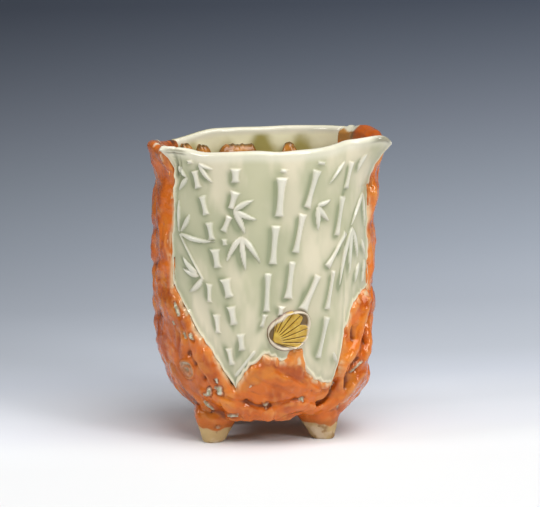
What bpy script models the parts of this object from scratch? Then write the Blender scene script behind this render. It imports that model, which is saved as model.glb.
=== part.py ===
"""Hand-built yunomi tea cup, modelled as the potter joins it.

An orange cup of bark-like clay (liner, floor, spines, aprons, roots and feet) carries two pale
slabs with a torn lower edge. Bamboo stands out on both slabs. Every piece is its own solid, and a
thin line of slip (LUTE) parts it from its neighbours. Metres, +Z up, origin on the table under the
middle of the cup. The front slab faces -Y. Angles run round the cup from the front, positive
towards +X, in degrees.
"""

import math

import bmesh
import bpy
from mathutils import Vector

# The cup's wall. Its plan is an ellipse, and it tucks in below the shoulder.
CUP_HALF_WIDTH = 0.0355
CUP_HALF_DEPTH = 0.0315
RIM_HEIGHT = 0.0995
SHOULDER_HEIGHT = 0.0450
BASE_HEIGHT = 0.0100
BASE_TUCK = 0.0105
TUCK_POWER = 3.26

# Walls, joints and edges
SLAB_WALL = 0.0030
LINER_WALL = 0.0025
FLOOR_THICKNESS = 0.0045
LUTE = 0.0003
SLAB_ROUND = 0.0013
BARK_ROUND = 0.0012
LINER_ROUND = 0.0008

# The slabs: where each starts and ends round the cup. At its two corners the lip is pulled out and
# lifted or let down. The reach is the angle over which that fades.
FRONT_SLAB_ANGLES = (-65.3, 66.0)
FRONT_LIP_PULLS = (0.0062, 0.0064)
FRONT_LIP_RISES = (0.0000, 0.0018)
FRONT_LIP_REACHES = (14.0, 25.0)
BACK_SLAB_ANGLES = (119.0, 234.0)
BACK_LIP_PULLS = (0.0004, 0.0002)
BACK_LIP_RISES = (0.0012, -0.0022)
BACK_LIP_REACHES = (50.0, 36.0)
LIP_PULL_DEPTH = 0.0145
LIP_PULL_POWER = 1.4

# The slabs' torn lower edges: angle, height above the table
FRONT_EDGE = (
    (-63.0, 0.0530), (-57.0, 0.0520), (-50.0, 0.0465), (-38.0, 0.0360), (-24.0, 0.0215),
    (-16.0, 0.0275), (-7.0, 0.0325), (1.0, 0.0302), (11.0, 0.0302), (20.0, 0.0245),
    (30.0, 0.0213), (36.0, 0.0262), (38.0, 0.0322), (40.0, 0.0380), (47.0, 0.0460),
    (56.0, 0.0495), (66.0, 0.0510),
)
BACK_EDGE = (
    (119.0, 0.0500), (128.0, 0.0440), (140.0, 0.0300), (152.0, 0.0220), (163.0, 0.0280),
    (172.0, 0.0360), (181.0, 0.0375), (189.0, 0.0330), (198.0, 0.0240), (207.0, 0.0230),
    (217.0, 0.0340), (226.0, 0.0450), (234.0, 0.0520),
)

# Bamboo on the front slab. A joint of a stem is two ends, each a distance along the wall from the
# middle of the front and a height, and its half width at each end. A leaf is two ends and one half
# width. A shape that would leave the slab or touch the medallion is not made.
FRONT_JOINTS = (
    ((-0.0290, 0.0920), (-0.0275, 0.0865), (0.0016, 0.0015)),
    ((-0.0260, 0.0840), (-0.0245, 0.0780), (0.0015, 0.0014)),
    ((-0.0235, 0.0755), (-0.0225, 0.0700), (0.0016, 0.0014)),
    ((-0.0215, 0.0670), (-0.0205, 0.0610), (0.0020, 0.0015)),
    ((-0.0180, 0.0575), (-0.0165, 0.0515), (0.0021, 0.0017)),
    ((-0.0160, 0.0485), (-0.0150, 0.0425), (0.0017, 0.0015)),
    ((-0.0130, 0.0395), (-0.0125, 0.0340), (0.0016, 0.0013)),
    ((-0.0235, 0.0555), (-0.0235, 0.0495), (0.0013, 0.0009)),
    ((-0.0210, 0.0455), (-0.0205, 0.0395), (0.0015, 0.0009)),
    ((-0.0170, 0.0345), (-0.0160, 0.0290), (0.0013, 0.0012)),
    ((-0.0145, 0.0935), (-0.0145, 0.0890), (0.0020, 0.0016)),
    ((-0.0145, 0.0860), (-0.0160, 0.0805), (0.0019, 0.0011)),
    ((-0.0165, 0.0780), (-0.0185, 0.0730), (0.0012, 0.0013)),
    ((0.0005, 0.0905), (-0.0005, 0.0780), (0.0020, 0.0015)),
    ((-0.0015, 0.0750), (-0.0025, 0.0625), (0.0016, 0.0014)),
    ((-0.0040, 0.0595), (-0.0045, 0.0470), (0.0013, 0.0012)),
    ((0.0125, 0.0925), (0.0090, 0.0805), (0.0017, 0.0013)),
    ((0.0075, 0.0785), (0.0050, 0.0660), (0.0015, 0.0013)),
    ((0.0040, 0.0630), (0.0025, 0.0510), (0.0012, 0.0016)),
    ((0.0270, 0.0940), (0.0245, 0.0855), (0.0013, 0.0012)),
    ((0.0230, 0.0830), (0.0205, 0.0705), (0.0014, 0.0012)),
    ((0.0190, 0.0590), (0.0165, 0.0465), (0.0009, 0.0012)),
    ((0.0165, 0.0440), (0.0135, 0.0305), (0.0013, 0.0012)),
    ((0.0245, 0.0710), (0.0165, 0.0605), (0.0009, 0.0013)),
    ((0.0130, 0.0580), (0.0075, 0.0470), (0.0013, 0.0018)),
)
FRONT_LEAVES = (
    ((-0.0275, 0.0945), (-0.0220, 0.0885), 0.0008),
    ((-0.0360, 0.0930), (-0.0320, 0.0895), 0.0009),
    ((-0.0318, 0.0885), (-0.0355, 0.0850), 0.0009),
    ((-0.0310, 0.0775), (-0.0345, 0.0720), 0.0009),
    ((-0.0350, 0.0708), (-0.0215, 0.0695), 0.0009),
    ((-0.0280, 0.0585), (-0.0340, 0.0635), 0.0010),
    ((-0.0260, 0.0570), (-0.0315, 0.0520), 0.0010),
    ((-0.0148, 0.0800), (-0.0085, 0.0835), 0.0009),
    ((-0.0148, 0.0798), (-0.0075, 0.0770), 0.0009),
    ((-0.0150, 0.0794), (-0.0115, 0.0725), 0.0010),
    ((-0.0127, 0.0713), (-0.0175, 0.0630), 0.0009),
    ((-0.0125, 0.0712), (-0.0110, 0.0600), 0.0009),
    ((-0.0123, 0.0713), (-0.0065, 0.0630), 0.0009),
    ((0.0130, 0.0808), (0.0172, 0.0755), 0.0009),
    ((0.0126, 0.0804), (0.0129, 0.0725), 0.0009),
    ((0.0350, 0.0830), (0.0270, 0.0725), 0.0008),
    ((0.0280, 0.0725), (0.0215, 0.0535), 0.0009),
    ((0.0280, 0.0722), (0.0265, 0.0565), 0.0009),
    ((0.0282, 0.0723), (0.0310, 0.0615), 0.0009),
    ((0.0320, 0.0600), (0.0295, 0.0535), 0.0009),
    ((-0.0148, 0.0255), (-0.0085, 0.0335), 0.0006),
)
JOINT_RISE = 0.0008
JOINT_WAIST = 0.64
JOINT_CROWN = 0.65
LEAF_RISE = 0.0007
RELIEF_SINK = 0.0006
RELIEF_MARGIN = 0.0007

# Bamboo on the back slab grows by a rule. A stem is where it stands along the wall, the height of
# its foot, its lean as run over rise, the length of its joints and their half width. A spray of
# leaves is where it hangs and the side it points to. Its leaves are a slope and a length each.
BACK_STEMS = (
    (0.0760, 0.0450, 0.10, 0.0052, 0.0013),
    (0.0840, 0.0300, 0.04, 0.0064, 0.0015),
    (0.0940, 0.0340, 0.09, 0.0086, 0.0016),
    (0.1040, 0.0420, -0.06, 0.0094, 0.0015),
    (0.1130, 0.0410, -0.02, 0.0072, 0.0017),
    (0.1220, 0.0300, 0.03, 0.0060, 0.0014),
    (0.1300, 0.0420, -0.05, 0.0054, 0.0013),
)
STEM_TOP_GAP = 0.0035
JOINT_GAP = 0.0024
JOINT_TAPER = 0.85
BACK_SPRAYS = (
    (0.0810, 0.0780, 1), (0.0980, 0.0710, -1), (0.1070, 0.0840, 1),
    (0.1180, 0.0660, 1), (0.1270, 0.0830, -1), (0.0900, 0.0560, 1),
)
SPRAY_LEAVES = ((-20.0, 0.0065), (-62.0, 0.0085), (-100.0, 0.0095))
SPRAY_LEAF_HALF_WIDTH = 0.0010
SPRAY_LEAF_START = 0.08

# The liner's torn top edge
LINER_HEIGHT = 0.0920
LINER_TEAR = 0.0025
LINER_TEARS = 7

# The bark skin stands proud of the slabs. Slow lumps and quicker ripples run over it: the height
# of each, how many go round the cup, and the rise in which they turn by one radian. Low down, the
# bark swells out on the right, between a first and a last angle. On the left it draws in below the
# shoulder and again at the heel, and it is nipped in under the lip.
BARK_PROUD = 0.0011
BARK_LUMP = 0.00045
BARK_LUMPS_AROUND = 9
BARK_LUMP_RISE = 0.0050
BARK_SWAYS_AROUND = 3
BARK_SWAY_RISE = 0.0080
BARK_RIPPLE = 0.00022
BARK_RIPPLES_AROUND = 14
BARK_RIPPLE_RISE = 0.0036
RIGHT_SWELL = 0.0016
RIGHT_SWELL_ANGLES = (33.0, 160.0)
RIGHT_HEEL_HEIGHT = 0.0300
RIGHT_HEEL_FADE = 0.0160
LEFT_ANGLES = (-165.0, -42.0)
LEFT_HEEL_DRAW = 0.0018
LEFT_HEEL_HEIGHT = 0.0250
LEFT_HEEL_FADE = 0.0150
LEFT_SIDE_DRAW = 0.0006
LEFT_SIDE_HEIGHT = 0.0540
LEFT_SIDE_FADE = 0.0120
LEFT_NIP = 0.0016
LEFT_NIP_HEIGHT = 0.0880
LEFT_NIP_REACH = 0.0090
SIDE_FADE_ANGLE = 24.0

# A low ridge winds up each spine. It sways about an angle, and is furthest round at one height.
RIDGES = ((-101.0, 0.0700), (105.0, 0.0760))
RIDGE_RISE = 0.0006
RIDGE_HALF_WIDTH = 0.0045
RIDGE_SWAY_ANGLE = 3.0
RIDGE_SWAY_RISE = 0.0180
RIDGE_LOW = 0.0320
RIDGE_FADE = 0.0080

# The tops of the spines, as heights above the rim: at the first end, the peak and the last end
LEFT_SPINE_TOPS = (-0.0025, 0.0011, -0.0019)
LEFT_SPINE_PEAK_ANGLE = -88.0
RIGHT_SPINE_TOPS = (-0.0003, 0.0033, 0.0011)
RIGHT_SPINE_PEAK_ANGLE = 98.0

# Roots are coils pressed onto the bark: half width, height of crown, and the height of the base
# coils' middle line. A route is a row of angles and heights.
ROOT_HALF_WIDTH = 0.0026
ROOT_CROWN = 0.0018
THIN_ROOT_HALF_WIDTH = 0.0022
THIN_ROOT_CROWN = 0.0016
BASE_ROOT_HEIGHT = 0.0140
BASE_ROOT_SAG = 0.0005
BASE_ROOT_RISE = 0.0022
ROOTS = {
    "left_front_root": (
        (-66.0, 0.0500), (-58.0, 0.0445), (-48.0, 0.0355), (-40.0, 0.0275), (-32.0, 0.0195),
    ),
    "right_back_root": (
        (111.0, 0.0500), (122.0, 0.0400), (132.0, 0.0280), (142.0, 0.0180),
    ),
    "left_back_root": (
        (242.0, 0.0500), (232.0, 0.0410), (223.0, 0.0290), (214.0, 0.0180),
    ),
}
THIN_ROOTS = {
    "right_front_root": (
        (57.0, 0.0450), (50.0, 0.0380), (47.5, 0.0300), (47.0, 0.0220), (41.0, 0.0150),
    ),
    "right_side_root": (
        (74.0, 0.0620), (71.0, 0.0500), (66.0, 0.0400),
        (63.0, 0.0300), (61.0, 0.0200), (58.0, 0.0140),
    ),
}
BASE_ROOTS = {
    "front_base_root": (-23.0, -10.0, 4.0, 15.0, 27.0),
    "back_base_root": (153.0, 165.0, 178.0, 191.0, 203.0),
}
ROOT_TIP = 0.55

# Feet: the angle of each under the wall, and the sizes they share
FOOT_ANGLES = {
    "front_left_foot": -52.0,
    "front_right_foot": 47.0,
    "back_left_foot": -145.0,
    "back_right_foot": 120.0,
}
FOOT_INSET = 0.0018
FOOT_TIP_RADIUS = 0.0030
FOOT_TOP_RADIUS = 0.0072
FOOT_SWELL_POWER = 0.75

# Buttons of clay pressed on
MEDALLION_ANGLE = 4.7
MEDALLION_HEIGHT = 0.0404
MEDALLION_HALF_WIDTH = 0.0070
MEDALLION_HALF_HEIGHT = 0.0056
MEDALLION_THICKNESS = 0.0009
MEDALLION_CROWN = 0.0006
KNOT_ANGLE = -54.3
KNOT_HEIGHT = 0.0262
KNOT_RADIUS = 0.0033
KNOT_THICKNESS = 0.0009
KNOT_CROWN = 0.0007

# How finely the round forms are divided
SLAB_STEP = 4.0
LINER_STEP = 9.0
WALL_ROWS = 10
SPINE_ROWS = 36
APRON_ROWS = 12
CORNER_STEPS = 2
ROOT_SAMPLES = 22
CROWN_STEPS = 6
FOOT_SIDES = 16
FOOT_RINGS = 5
FLOOR_SIDES = 48
BUTTON_SIDES = 24
BUTTON_RINGS = 3
WALK_STEP = 0.5

CELADON = ((0.62, 0.64, 0.52, 1.0), 0.15)
BARK_GLAZE = ((0.55, 0.13, 0.03, 1.0), 0.20)
YELLOW_GLAZE = ((0.60, 0.38, 0.05, 1.0), 0.22)


def clear_scene():
    for old in list(bpy.data.objects):
        bpy.data.objects.remove(old, do_unlink=True)


def make_material(name, look):
    """A glaze with its own colour and roughness."""
    colour, roughness = look
    material = bpy.data.materials.new(name)
    material.use_nodes = True
    shader = material.node_tree.nodes["Principled BSDF"]
    shader.inputs["Base Color"].default_value = colour
    shader.inputs["Roughness"].default_value = roughness
    shader.inputs["Metallic"].default_value = 0.0
    return material


def ease(share):
    """0 to 1 with a soft start and end."""
    share = min(1.0, max(0.0, share))
    return share * share * (3.0 - 2.0 * share)


def tuck(height):
    """How far the wall has come in at this height."""
    below = max(0.0, SHOULDER_HEIGHT - height) / (SHOULDER_HEIGHT - BASE_HEIGHT)
    return BASE_TUCK * below ** TUCK_POWER


def wall_point(angle, height, out):
    """The point at this angle and height, this far out from the slabs' outer face."""
    turn = math.radians(angle)
    across, ahead = math.sin(turn), -math.cos(turn)
    normal = Vector((across / CUP_HALF_WIDTH, ahead / CUP_HALF_DEPTH, 0.0)).normalized()
    on_plan = Vector((CUP_HALF_WIDTH * across, CUP_HALF_DEPTH * ahead, height))
    return on_plan + normal * (out - tuck(height))


def degrees_for(length, angle):
    """The angle that a short length along the wall takes up."""
    turn = math.radians(angle)
    arc = math.hypot(CUP_HALF_WIDTH * math.cos(turn), CUP_HALF_DEPTH * math.sin(turn))
    return math.degrees(length / arc)


def angle_along(distance):
    """The angle this far along the wall from the middle of the front."""
    angle, left = 0.0, abs(distance)
    while left > 0.0:
        stride = min(WALK_STEP, degrees_for(left, angle + WALK_STEP / 2))
        left -= stride / degrees_for(1.0, angle + WALK_STEP / 2)
        angle += stride
        if stride < WALK_STEP:
            break
    return math.copysign(angle, distance)


def edge_height(edge, angle):
    """The height of a torn edge at this angle, straight between its points."""
    for (start, low), (end, high) in zip(edge, edge[1:]):
        if start <= angle <= end:
            return low + (high - low) * (angle - start) / (end - start)
    return edge[0][1] if angle < edge[0][0] else edge[-1][1]


def edge_slope(edge, angle):
    """The steepest slope of the edge beside this angle, as rise over run along the wall."""
    nearby = [edge_height(edge, angle + side * SLAB_STEP / 4) for side in (-1, 0, 1)]
    run = SLAB_STEP / 4 / degrees_for(1.0, angle)
    return max(abs(nearby[1] - nearby[0]), abs(nearby[2] - nearby[1])) / run


def below_edge(edge, angle):
    """The height of a piece that meets the torn edge from below, a line of slip away."""
    return edge_height(edge, angle) - LUTE * math.hypot(1.0, edge_slope(edge, angle))


def angles_between(first, last, step, extra=()):
    """Even angles from first to last, with the extra ones that lie between them."""
    count = max(2, round((last - first) / step))
    found = [first + (last - first) * i / count for i in range(count + 1)]
    inside = [a for a in extra if first < a < last]
    kept = [a for a in found[1:-1] if all(abs(a - e) > step / 3 for e in inside)]
    return sorted([first, last, *inside, *kept])


def between(angle, first, last):
    """1 between two angles, falling to 0 at both."""
    return ease((angle - first) / SIDE_FADE_ANGLE) * ease((last - angle) / SIDE_FADE_ANGLE)


def side_swell(angle, height):
    """How far the bark swells out on the right, or draws in on the left."""
    swell = RIGHT_SWELL * ease((RIGHT_HEEL_HEIGHT - height) / RIGHT_HEEL_FADE)
    draw = LEFT_HEEL_DRAW * ease((LEFT_HEEL_HEIGHT - height) / LEFT_HEEL_FADE)
    draw += LEFT_SIDE_DRAW * ease((LEFT_SIDE_HEIGHT - height) / LEFT_SIDE_FADE)
    draw += LEFT_NIP * ease(1.0 - abs(height - LEFT_NIP_HEIGHT) / LEFT_NIP_REACH)
    return swell * between(angle, *RIGHT_SWELL_ANGLES) - draw * between(angle, *LEFT_ANGLES)


def ridges(angle, height):
    """How far the winding ridges of the spines stand out."""
    rise = 0.0
    for middle, furthest in RIDGES:
        sway = RIDGE_SWAY_ANGLE * math.cos(math.pi * (height - furthest) / RIDGE_SWAY_RISE)
        apart = abs(angle - middle - sway) / degrees_for(RIDGE_HALF_WIDTH, angle)
        rise += RIDGE_RISE * ease(1.0 - apart)
    return rise * ease((height - RIDGE_LOW) / RIDGE_FADE)


def bark_skin(angle, height):
    """How far the bark's lumpy outer face stands out from the slabs' outer face."""
    angle = (angle + 180.0) % 360.0 - 180.0
    turn = math.radians(angle)
    sway = math.cos(height / BARK_SWAY_RISE - BARK_SWAYS_AROUND * turn)
    lump = BARK_LUMP * sway * math.sin(BARK_LUMPS_AROUND * turn + height / BARK_LUMP_RISE)
    ripple = BARK_RIPPLE * math.sin(BARK_RIPPLES_AROUND * turn - height / BARK_RIPPLE_RISE)
    return BARK_PROUD + lump + ripple + side_swell(angle, height) + ridges(angle, height)


def lip_corners(slab_angles, pulls, rises, reaches):
    """The two corners of a slab's lip: angle, pull, rise and reach of each."""
    return tuple(zip(slab_angles, pulls, rises, reaches))


FRONT_CORNERS = lip_corners(
    FRONT_SLAB_ANGLES, FRONT_LIP_PULLS, FRONT_LIP_RISES, FRONT_LIP_REACHES
)
BACK_CORNERS = lip_corners(BACK_SLAB_ANGLES, BACK_LIP_PULLS, BACK_LIP_RISES, BACK_LIP_REACHES)

# Each slab: its angles, its torn edge and the corners of its lip
FRONT_SLAB = (FRONT_SLAB_ANGLES, FRONT_EDGE, FRONT_CORNERS)
BACK_SLAB = (BACK_SLAB_ANGLES, BACK_EDGE, BACK_CORNERS)


def nearness(angle, corner, reach):
    """1 at a corner of a slab, falling to 0 where its pull ends."""
    return ease(1.0 - abs(angle - corner) / reach)


def lip_share(height):
    """How much of the lip's pull is felt at this height."""
    up = max(0.0, height - (RIM_HEIGHT - LIP_PULL_DEPTH)) / LIP_PULL_DEPTH
    return up ** LIP_PULL_POWER


def lip_pull(corners, angle, height):
    """How far the lip is pulled outwards near the two corners of a slab."""
    sideways = sum(pull * nearness(angle, at, reach) for at, pull, _, reach in corners)
    return sideways * lip_share(height)


def lip_height(corners, angle):
    """The top of a slab, lifted or let down towards both corners."""
    return RIM_HEIGHT + sum(rise * nearness(angle, at, reach) for at, _, rise, reach in corners)


def new_object(name, mesh, material):
    mesh.shade_smooth()
    mesh.set_sharp_from_angle(angle=math.radians(40.0))
    mesh.materials.append(material)
    made = bpy.data.objects.new(name, mesh)
    bpy.context.scene.collection.objects.link(made)
    return made


def loft(name, sections, material, ring=False):
    """A solid skinned over closed sections. A ring joins the last to the first, others get ends."""
    form = bmesh.new()
    rows = [[form.verts.new(point) for point in section] for section in sections]
    pairs = list(zip(rows, rows[1:]))
    if ring:
        pairs.append((rows[-1], rows[0]))
    for one, two in pairs:
        for i in range(len(one)):
            j = (i + 1) % len(one)
            form.faces.new((one[i], one[j], two[j], two[i]))
    if not ring:
        form.faces.new(rows[0])
        form.faces.new(rows[-1])
    bmesh.ops.recalc_face_normals(form, faces=form.faces)
    mesh = bpy.data.meshes.new(name)
    form.to_mesh(mesh)
    form.free()
    return new_object(name, mesh, material)


def corner_arc(middle, radius, start):
    """A quarter round in the plane of wall thickness and height."""
    points = []
    for i in range(CORNER_STEPS + 1):
        turn = math.radians(start - 90.0 * i / CORNER_STEPS)
        points.append((middle[0] + radius * math.cos(turn), middle[1] + radius * math.sin(turn)))
    return points


def wall_section(angle, low, high, inner, outer, corner, rows=WALL_ROWS):
    """A closed outline through the wall: up the inner face, over the top, down the outer face."""
    thinnest = min(outer(angle, h) - inner(angle, h) for h in (low, (low + high) / 2, high))
    radius = min(corner, 0.45 * thinnest, 0.45 * (high - low))
    low_row, high_row = low + radius, high - radius
    shares = [(1.0 - math.cos(math.pi * i / rows)) / 2 for i in range(1, rows)]
    heights = [low_row + (high_row - low_row) * share for share in shares]
    outline = [(inner(angle, h), h) for h in heights]
    outline += corner_arc((inner(angle, high_row) + radius, high_row), radius, 180.0)
    outline += corner_arc((outer(angle, high_row) - radius, high_row), radius, 90.0)
    outline += [(outer(angle, h), h) for h in reversed(heights)]
    outline += corner_arc((outer(angle, low_row) - radius, low_row), radius, 0.0)
    outline += corner_arc((inner(angle, low_row) + radius, low_row), radius, -90.0)
    return [wall_point(angle, height, out) for out, height in outline]


def make_plain_slab(name, slab, material):
    """A pale slab from its torn lower edge to the lip."""
    slab_angles, edge, corners = slab

    def outer(angle, height):
        return lip_pull(corners, angle, height)

    def inner(angle, height):
        return outer(angle, height) - SLAB_WALL

    columns = angles_between(*slab_angles, SLAB_STEP, [angle for angle, _ in edge])
    sections = [
        wall_section(a, edge_height(edge, a), lip_height(corners, a), inner, outer, SLAB_ROUND)
        for a in columns
    ]
    return loft(name, sections, material)


def clear_of_edges(slab, angle, height):
    """True where a point of a raised shape is clear of the slab's edges."""
    (first, last), edge, corners = slab
    side = degrees_for(RELIEF_MARGIN, angle)
    if not first + side < angle < last - side:
        return False
    low = max(edge_height(edge, angle + turn) for turn in (-side, 0.0, side)) + RELIEF_MARGIN
    high = lip_height(corners, angle) - SLAB_ROUND - RELIEF_MARGIN
    return low < height < high


def clear_of_medallion(angle, height):
    """True where a point of a raised shape is clear of the medallion."""
    across = (angle - MEDALLION_ANGLE) / degrees_for(MEDALLION_HALF_WIDTH + RELIEF_MARGIN, angle)
    up = (height - MEDALLION_HEIGHT) / (MEDALLION_HALF_HEIGHT + RELIEF_MARGIN)
    return math.hypot(across, up) > 1.0


def make_raised(slab, start, end, stations, outline, material):
    """A raised shape along a line on a slab, sunk a little into it, or none off the slab."""
    run, climb = end[0] - start[0], end[1] - start[1]
    length = math.hypot(run, climb)
    sections = []
    for share, half in stations:
        section = []
        for across, lift in outline:
            aside = half * across / length
            angle = angle_along(start[0] + run * share + aside * climb)
            up = start[1] + climb * share - aside * run
            if not (clear_of_edges(slab, angle, up) and clear_of_medallion(angle, up)):
                return None
            section.append(wall_point(angle, up, lip_pull(slab[2], angle, up) + lift))
        sections.append(section)
    return loft("raised", sections, material)


def make_joint(slab, start, end, halves, material):
    """One joint of a bamboo stem, waisted between its flared ends."""
    waist = JOINT_WAIST * sum(halves) / 2
    stations = ((0.0, halves[0]), (0.3, waist), (0.7, waist), (1.0, halves[1]))
    outline = (
        (-1.0, -RELIEF_SINK), (-JOINT_CROWN, JOINT_RISE), (JOINT_CROWN, JOINT_RISE), (1.0, -RELIEF_SINK),
    )
    return make_raised(slab, start, end, stations, outline, material)


def make_leaf(slab, start, end, half, material):
    """A narrow bamboo leaf with a keel."""
    stations = ((0.0, 0.3 * half), (0.3, half), (0.65, 0.8 * half), (1.0, 0.15 * half))
    outline = ((-1.0, -RELIEF_SINK), (0.0, LEAF_RISE), (1.0, -RELIEF_SINK))
    return make_raised(slab, start, end, stations, outline, material)


def press_on(base, pieces, material):
    """Joins raised pieces and the solid that they are pressed on into one solid."""
    group = bpy.data.collections.new("raised")
    for piece in pieces:
        group.objects.link(piece)
    join = base.modifiers.new("press", "BOOLEAN")
    join.operation = "UNION"
    join.operand_type = "COLLECTION"
    join.collection = group
    join.solver = "EXACT"
    join.use_self = True
    graph = bpy.context.evaluated_depsgraph_get()
    mesh = bpy.data.meshes.new_from_object(base.evaluated_get(graph))
    name = base.name
    for old in [base, *pieces]:
        bpy.data.objects.remove(old, do_unlink=True)
    bpy.data.collections.remove(group)
    mesh.materials.clear()
    return new_object(name, mesh, material)


def back_joints():
    """The joints of the stems on the back slab, from the foot of each stem up to the lip."""
    joints = []
    for foot, low, lean, length, half in BACK_STEMS:
        height = low
        while height + length < RIM_HEIGHT - STEM_TOP_GAP:
            bottom = (foot + lean * (height - low), height)
            top = (bottom[0] + lean * length, height + length)
            joints.append((top, bottom, (half, half * JOINT_TAPER)))
            height += length + JOINT_GAP
    return joints


def back_leaves():
    """The sprays of leaves on the back slab."""
    leaves = []
    for distance, height, hand in BACK_SPRAYS:
        for slope, length in SPRAY_LEAVES:
            run = hand * length * math.cos(math.radians(slope))
            climb = length * math.sin(math.radians(slope))
            start = (distance + SPRAY_LEAF_START * run, height + SPRAY_LEAF_START * climb)
            leaves.append((start, (distance + run, height + climb), SPRAY_LEAF_HALF_WIDTH))
    return leaves


def make_slab(name, slab, joints, leaves, material):
    """A pale slab with its bamboo."""
    raised = [make_joint(slab, *joint, material) for joint in joints]
    raised += [make_leaf(slab, *leaf, material) for leaf in leaves]
    plain = make_plain_slab(name, slab, material)
    return press_on(plain, [piece for piece in raised if piece], material)


def bark_back(angle, height):
    """The back of every bark piece, against the liner."""
    return -SLAB_WALL


def make_apron(name, slab_angles, edge, material):
    """The bark below a slab, from the base up to the slab's torn edge."""
    columns = angles_between(*slab_angles, SLAB_STEP, [angle for angle, _ in edge])
    sections = [
        wall_section(
            a, BASE_HEIGHT, below_edge(edge, a), bark_back, bark_skin, BARK_ROUND, APRON_ROWS
        )
        for a in columns
    ]
    return loft(name, sections, material)


def make_spine(name, ends, leans, tops, peak_angle, material):
    """A strip of bark from the base to the rim, between the slabs. It leans out as their lips do."""
    first = ends[0] + degrees_for(LUTE, ends[0])
    last = ends[1] - degrees_for(LUTE, ends[1])

    def lean(angle, height):
        share = (angle - first) / (last - first)
        return lip_share(height) * (leans[0] * (1.0 - share) ** 2 + leans[1] * share ** 2)

    def outer(angle, height):
        return bark_skin(angle, height) + lean(angle, height)

    def inner(angle, height):
        return lean(angle, height) - SLAB_WALL

    def top(angle):
        low, span = (tops[0], peak_angle - first) if angle < peak_angle else (tops[2], last - peak_angle)
        near = ease(1.0 - abs(angle - peak_angle) / span)
        return RIM_HEIGHT + low + (tops[1] - low) * near

    sections = [
        wall_section(a, BASE_HEIGHT, top(a), inner, outer, BARK_ROUND, SPINE_ROWS)
        for a in angles_between(first, last, SLAB_STEP)
    ]
    return loft(name, sections, material)


def liner_outer(angle, height):
    return -SLAB_WALL - LUTE


def liner_inner(angle, height):
    return liner_outer(angle, height) - LINER_WALL


def make_liner(material):
    """The bark tube inside the slabs. Its top edge is torn, a little below the lip."""
    count = round(360.0 / LINER_STEP)
    sections = []
    for i in range(count):
        angle = 360.0 * i / count
        tear = LINER_TEAR * math.sin(math.radians(LINER_TEARS * angle))
        top = LINER_HEIGHT + tear
        sections.append(
            wall_section(angle, BASE_HEIGHT, top, liner_inner, liner_outer, LINER_ROUND)
        )
    return loft("liner", sections, material, ring=True)


def make_floor(material):
    """The floor is a plug. It sits in the taper of the liner, a line of slip away from it."""
    sections = []
    for share in (0.0, 0.5, 1.0):
        height = BASE_HEIGHT + FLOOR_THICKNESS * share
        ring = []
        for i in range(FLOOR_SIDES):
            angle = 360.0 * i / FLOOR_SIDES
            ring.append(wall_point(angle, height, liner_inner(angle, height) - LUTE))
        sections.append(ring)
    return loft("floor_slab", sections, material)


def smooth_route(points, samples):
    """Even steps along a smooth curve through the points of a route."""
    route = [Vector((angle, height, 0.0)) for angle, height in points]
    padded = [2 * route[0] - route[1], *route, 2 * route[-1] - route[-2]]
    found = []
    for i in range(samples + 1):
        along = i / samples * (len(route) - 1)
        k = min(int(along), len(route) - 2)
        t = along - k
        p0, p1, p2, p3 = padded[k:k + 4]
        curve = (
            2 * p1 + (p2 - p0) * t + (2 * p0 - 5 * p1 + 4 * p2 - p3) * t ** 2
            + (3 * p1 - p0 - 3 * p2 + p3) * t ** 3
        )
        found.append(curve / 2)
    return found


def root_outline(half_width, crown):
    """A half round: across its flat back, then over its crown."""
    outline = [(half_width * (k - 2) / 2, 0.0) for k in range(4)]
    for k in range(CROWN_STEPS):
        turn = math.pi * k / CROWN_STEPS
        outline.append((half_width * math.cos(turn), crown * math.sin(turn)))
    return outline


def make_root(name, points, half_width, crown, material):
    """A coil with a flat back, pressed along its route onto the bark. It thins at both ends."""
    route = smooth_route(points, ROOT_SAMPLES)
    sections = []
    for i, place in enumerate(route):
        before, after = route[max(0, i - 1)], route[min(len(route) - 1, i + 1)]
        per_metre = degrees_for(1.0, place.x)
        along = Vector(((after.x - before.x) / per_metre, after.y - before.y)).normalized()
        side = Vector((-along.y, along.x))
        swell = ROOT_TIP + (1.0 - ROOT_TIP) * math.sin(math.pi * i / ROOT_SAMPLES)
        section = []
        for across, lift in root_outline(half_width * swell, crown * swell):
            angle = place.x + side.x * across * per_metre
            height = place.y + side.y * across
            section.append(wall_point(angle, height, bark_skin(angle, height) + LUTE + lift))
        sections.append(section)
    return loft(name, sections, material)


def base_route(angles):
    """A coil round the base that sags at its second point and rises at its fourth."""
    first, low, middle, high, last = angles
    return (
        (first, BASE_ROOT_HEIGHT), (low, BASE_ROOT_HEIGHT - BASE_ROOT_SAG),
        (middle, BASE_ROOT_HEIGHT + BASE_ROOT_RISE / 2), (high, BASE_ROOT_HEIGHT + BASE_ROOT_RISE),
        (last, BASE_ROOT_HEIGHT),
    )


def make_foot(name, angle, material):
    """A stump under the wall, flat where it stands."""
    place = wall_point(angle, BASE_HEIGHT, -FOOT_INSET)
    top = BASE_HEIGHT - LUTE
    sections = []
    for ring in range(FOOT_RINGS + 1):
        share = ring / FOOT_RINGS
        radius = FOOT_TIP_RADIUS + (FOOT_TOP_RADIUS - FOOT_TIP_RADIUS) * share ** FOOT_SWELL_POWER
        sections.append([
            Vector((
                place.x + radius * math.cos(2 * math.pi * i / FOOT_SIDES),
                place.y + radius * math.sin(2 * math.pi * i / FOOT_SIDES),
                top * share,
            ))
            for i in range(FOOT_SIDES)
        ])
    return loft(name, sections, material)


def slab_face(angle, height):
    """The slabs' outer face, below the pulled lip."""
    return 0.0


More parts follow.
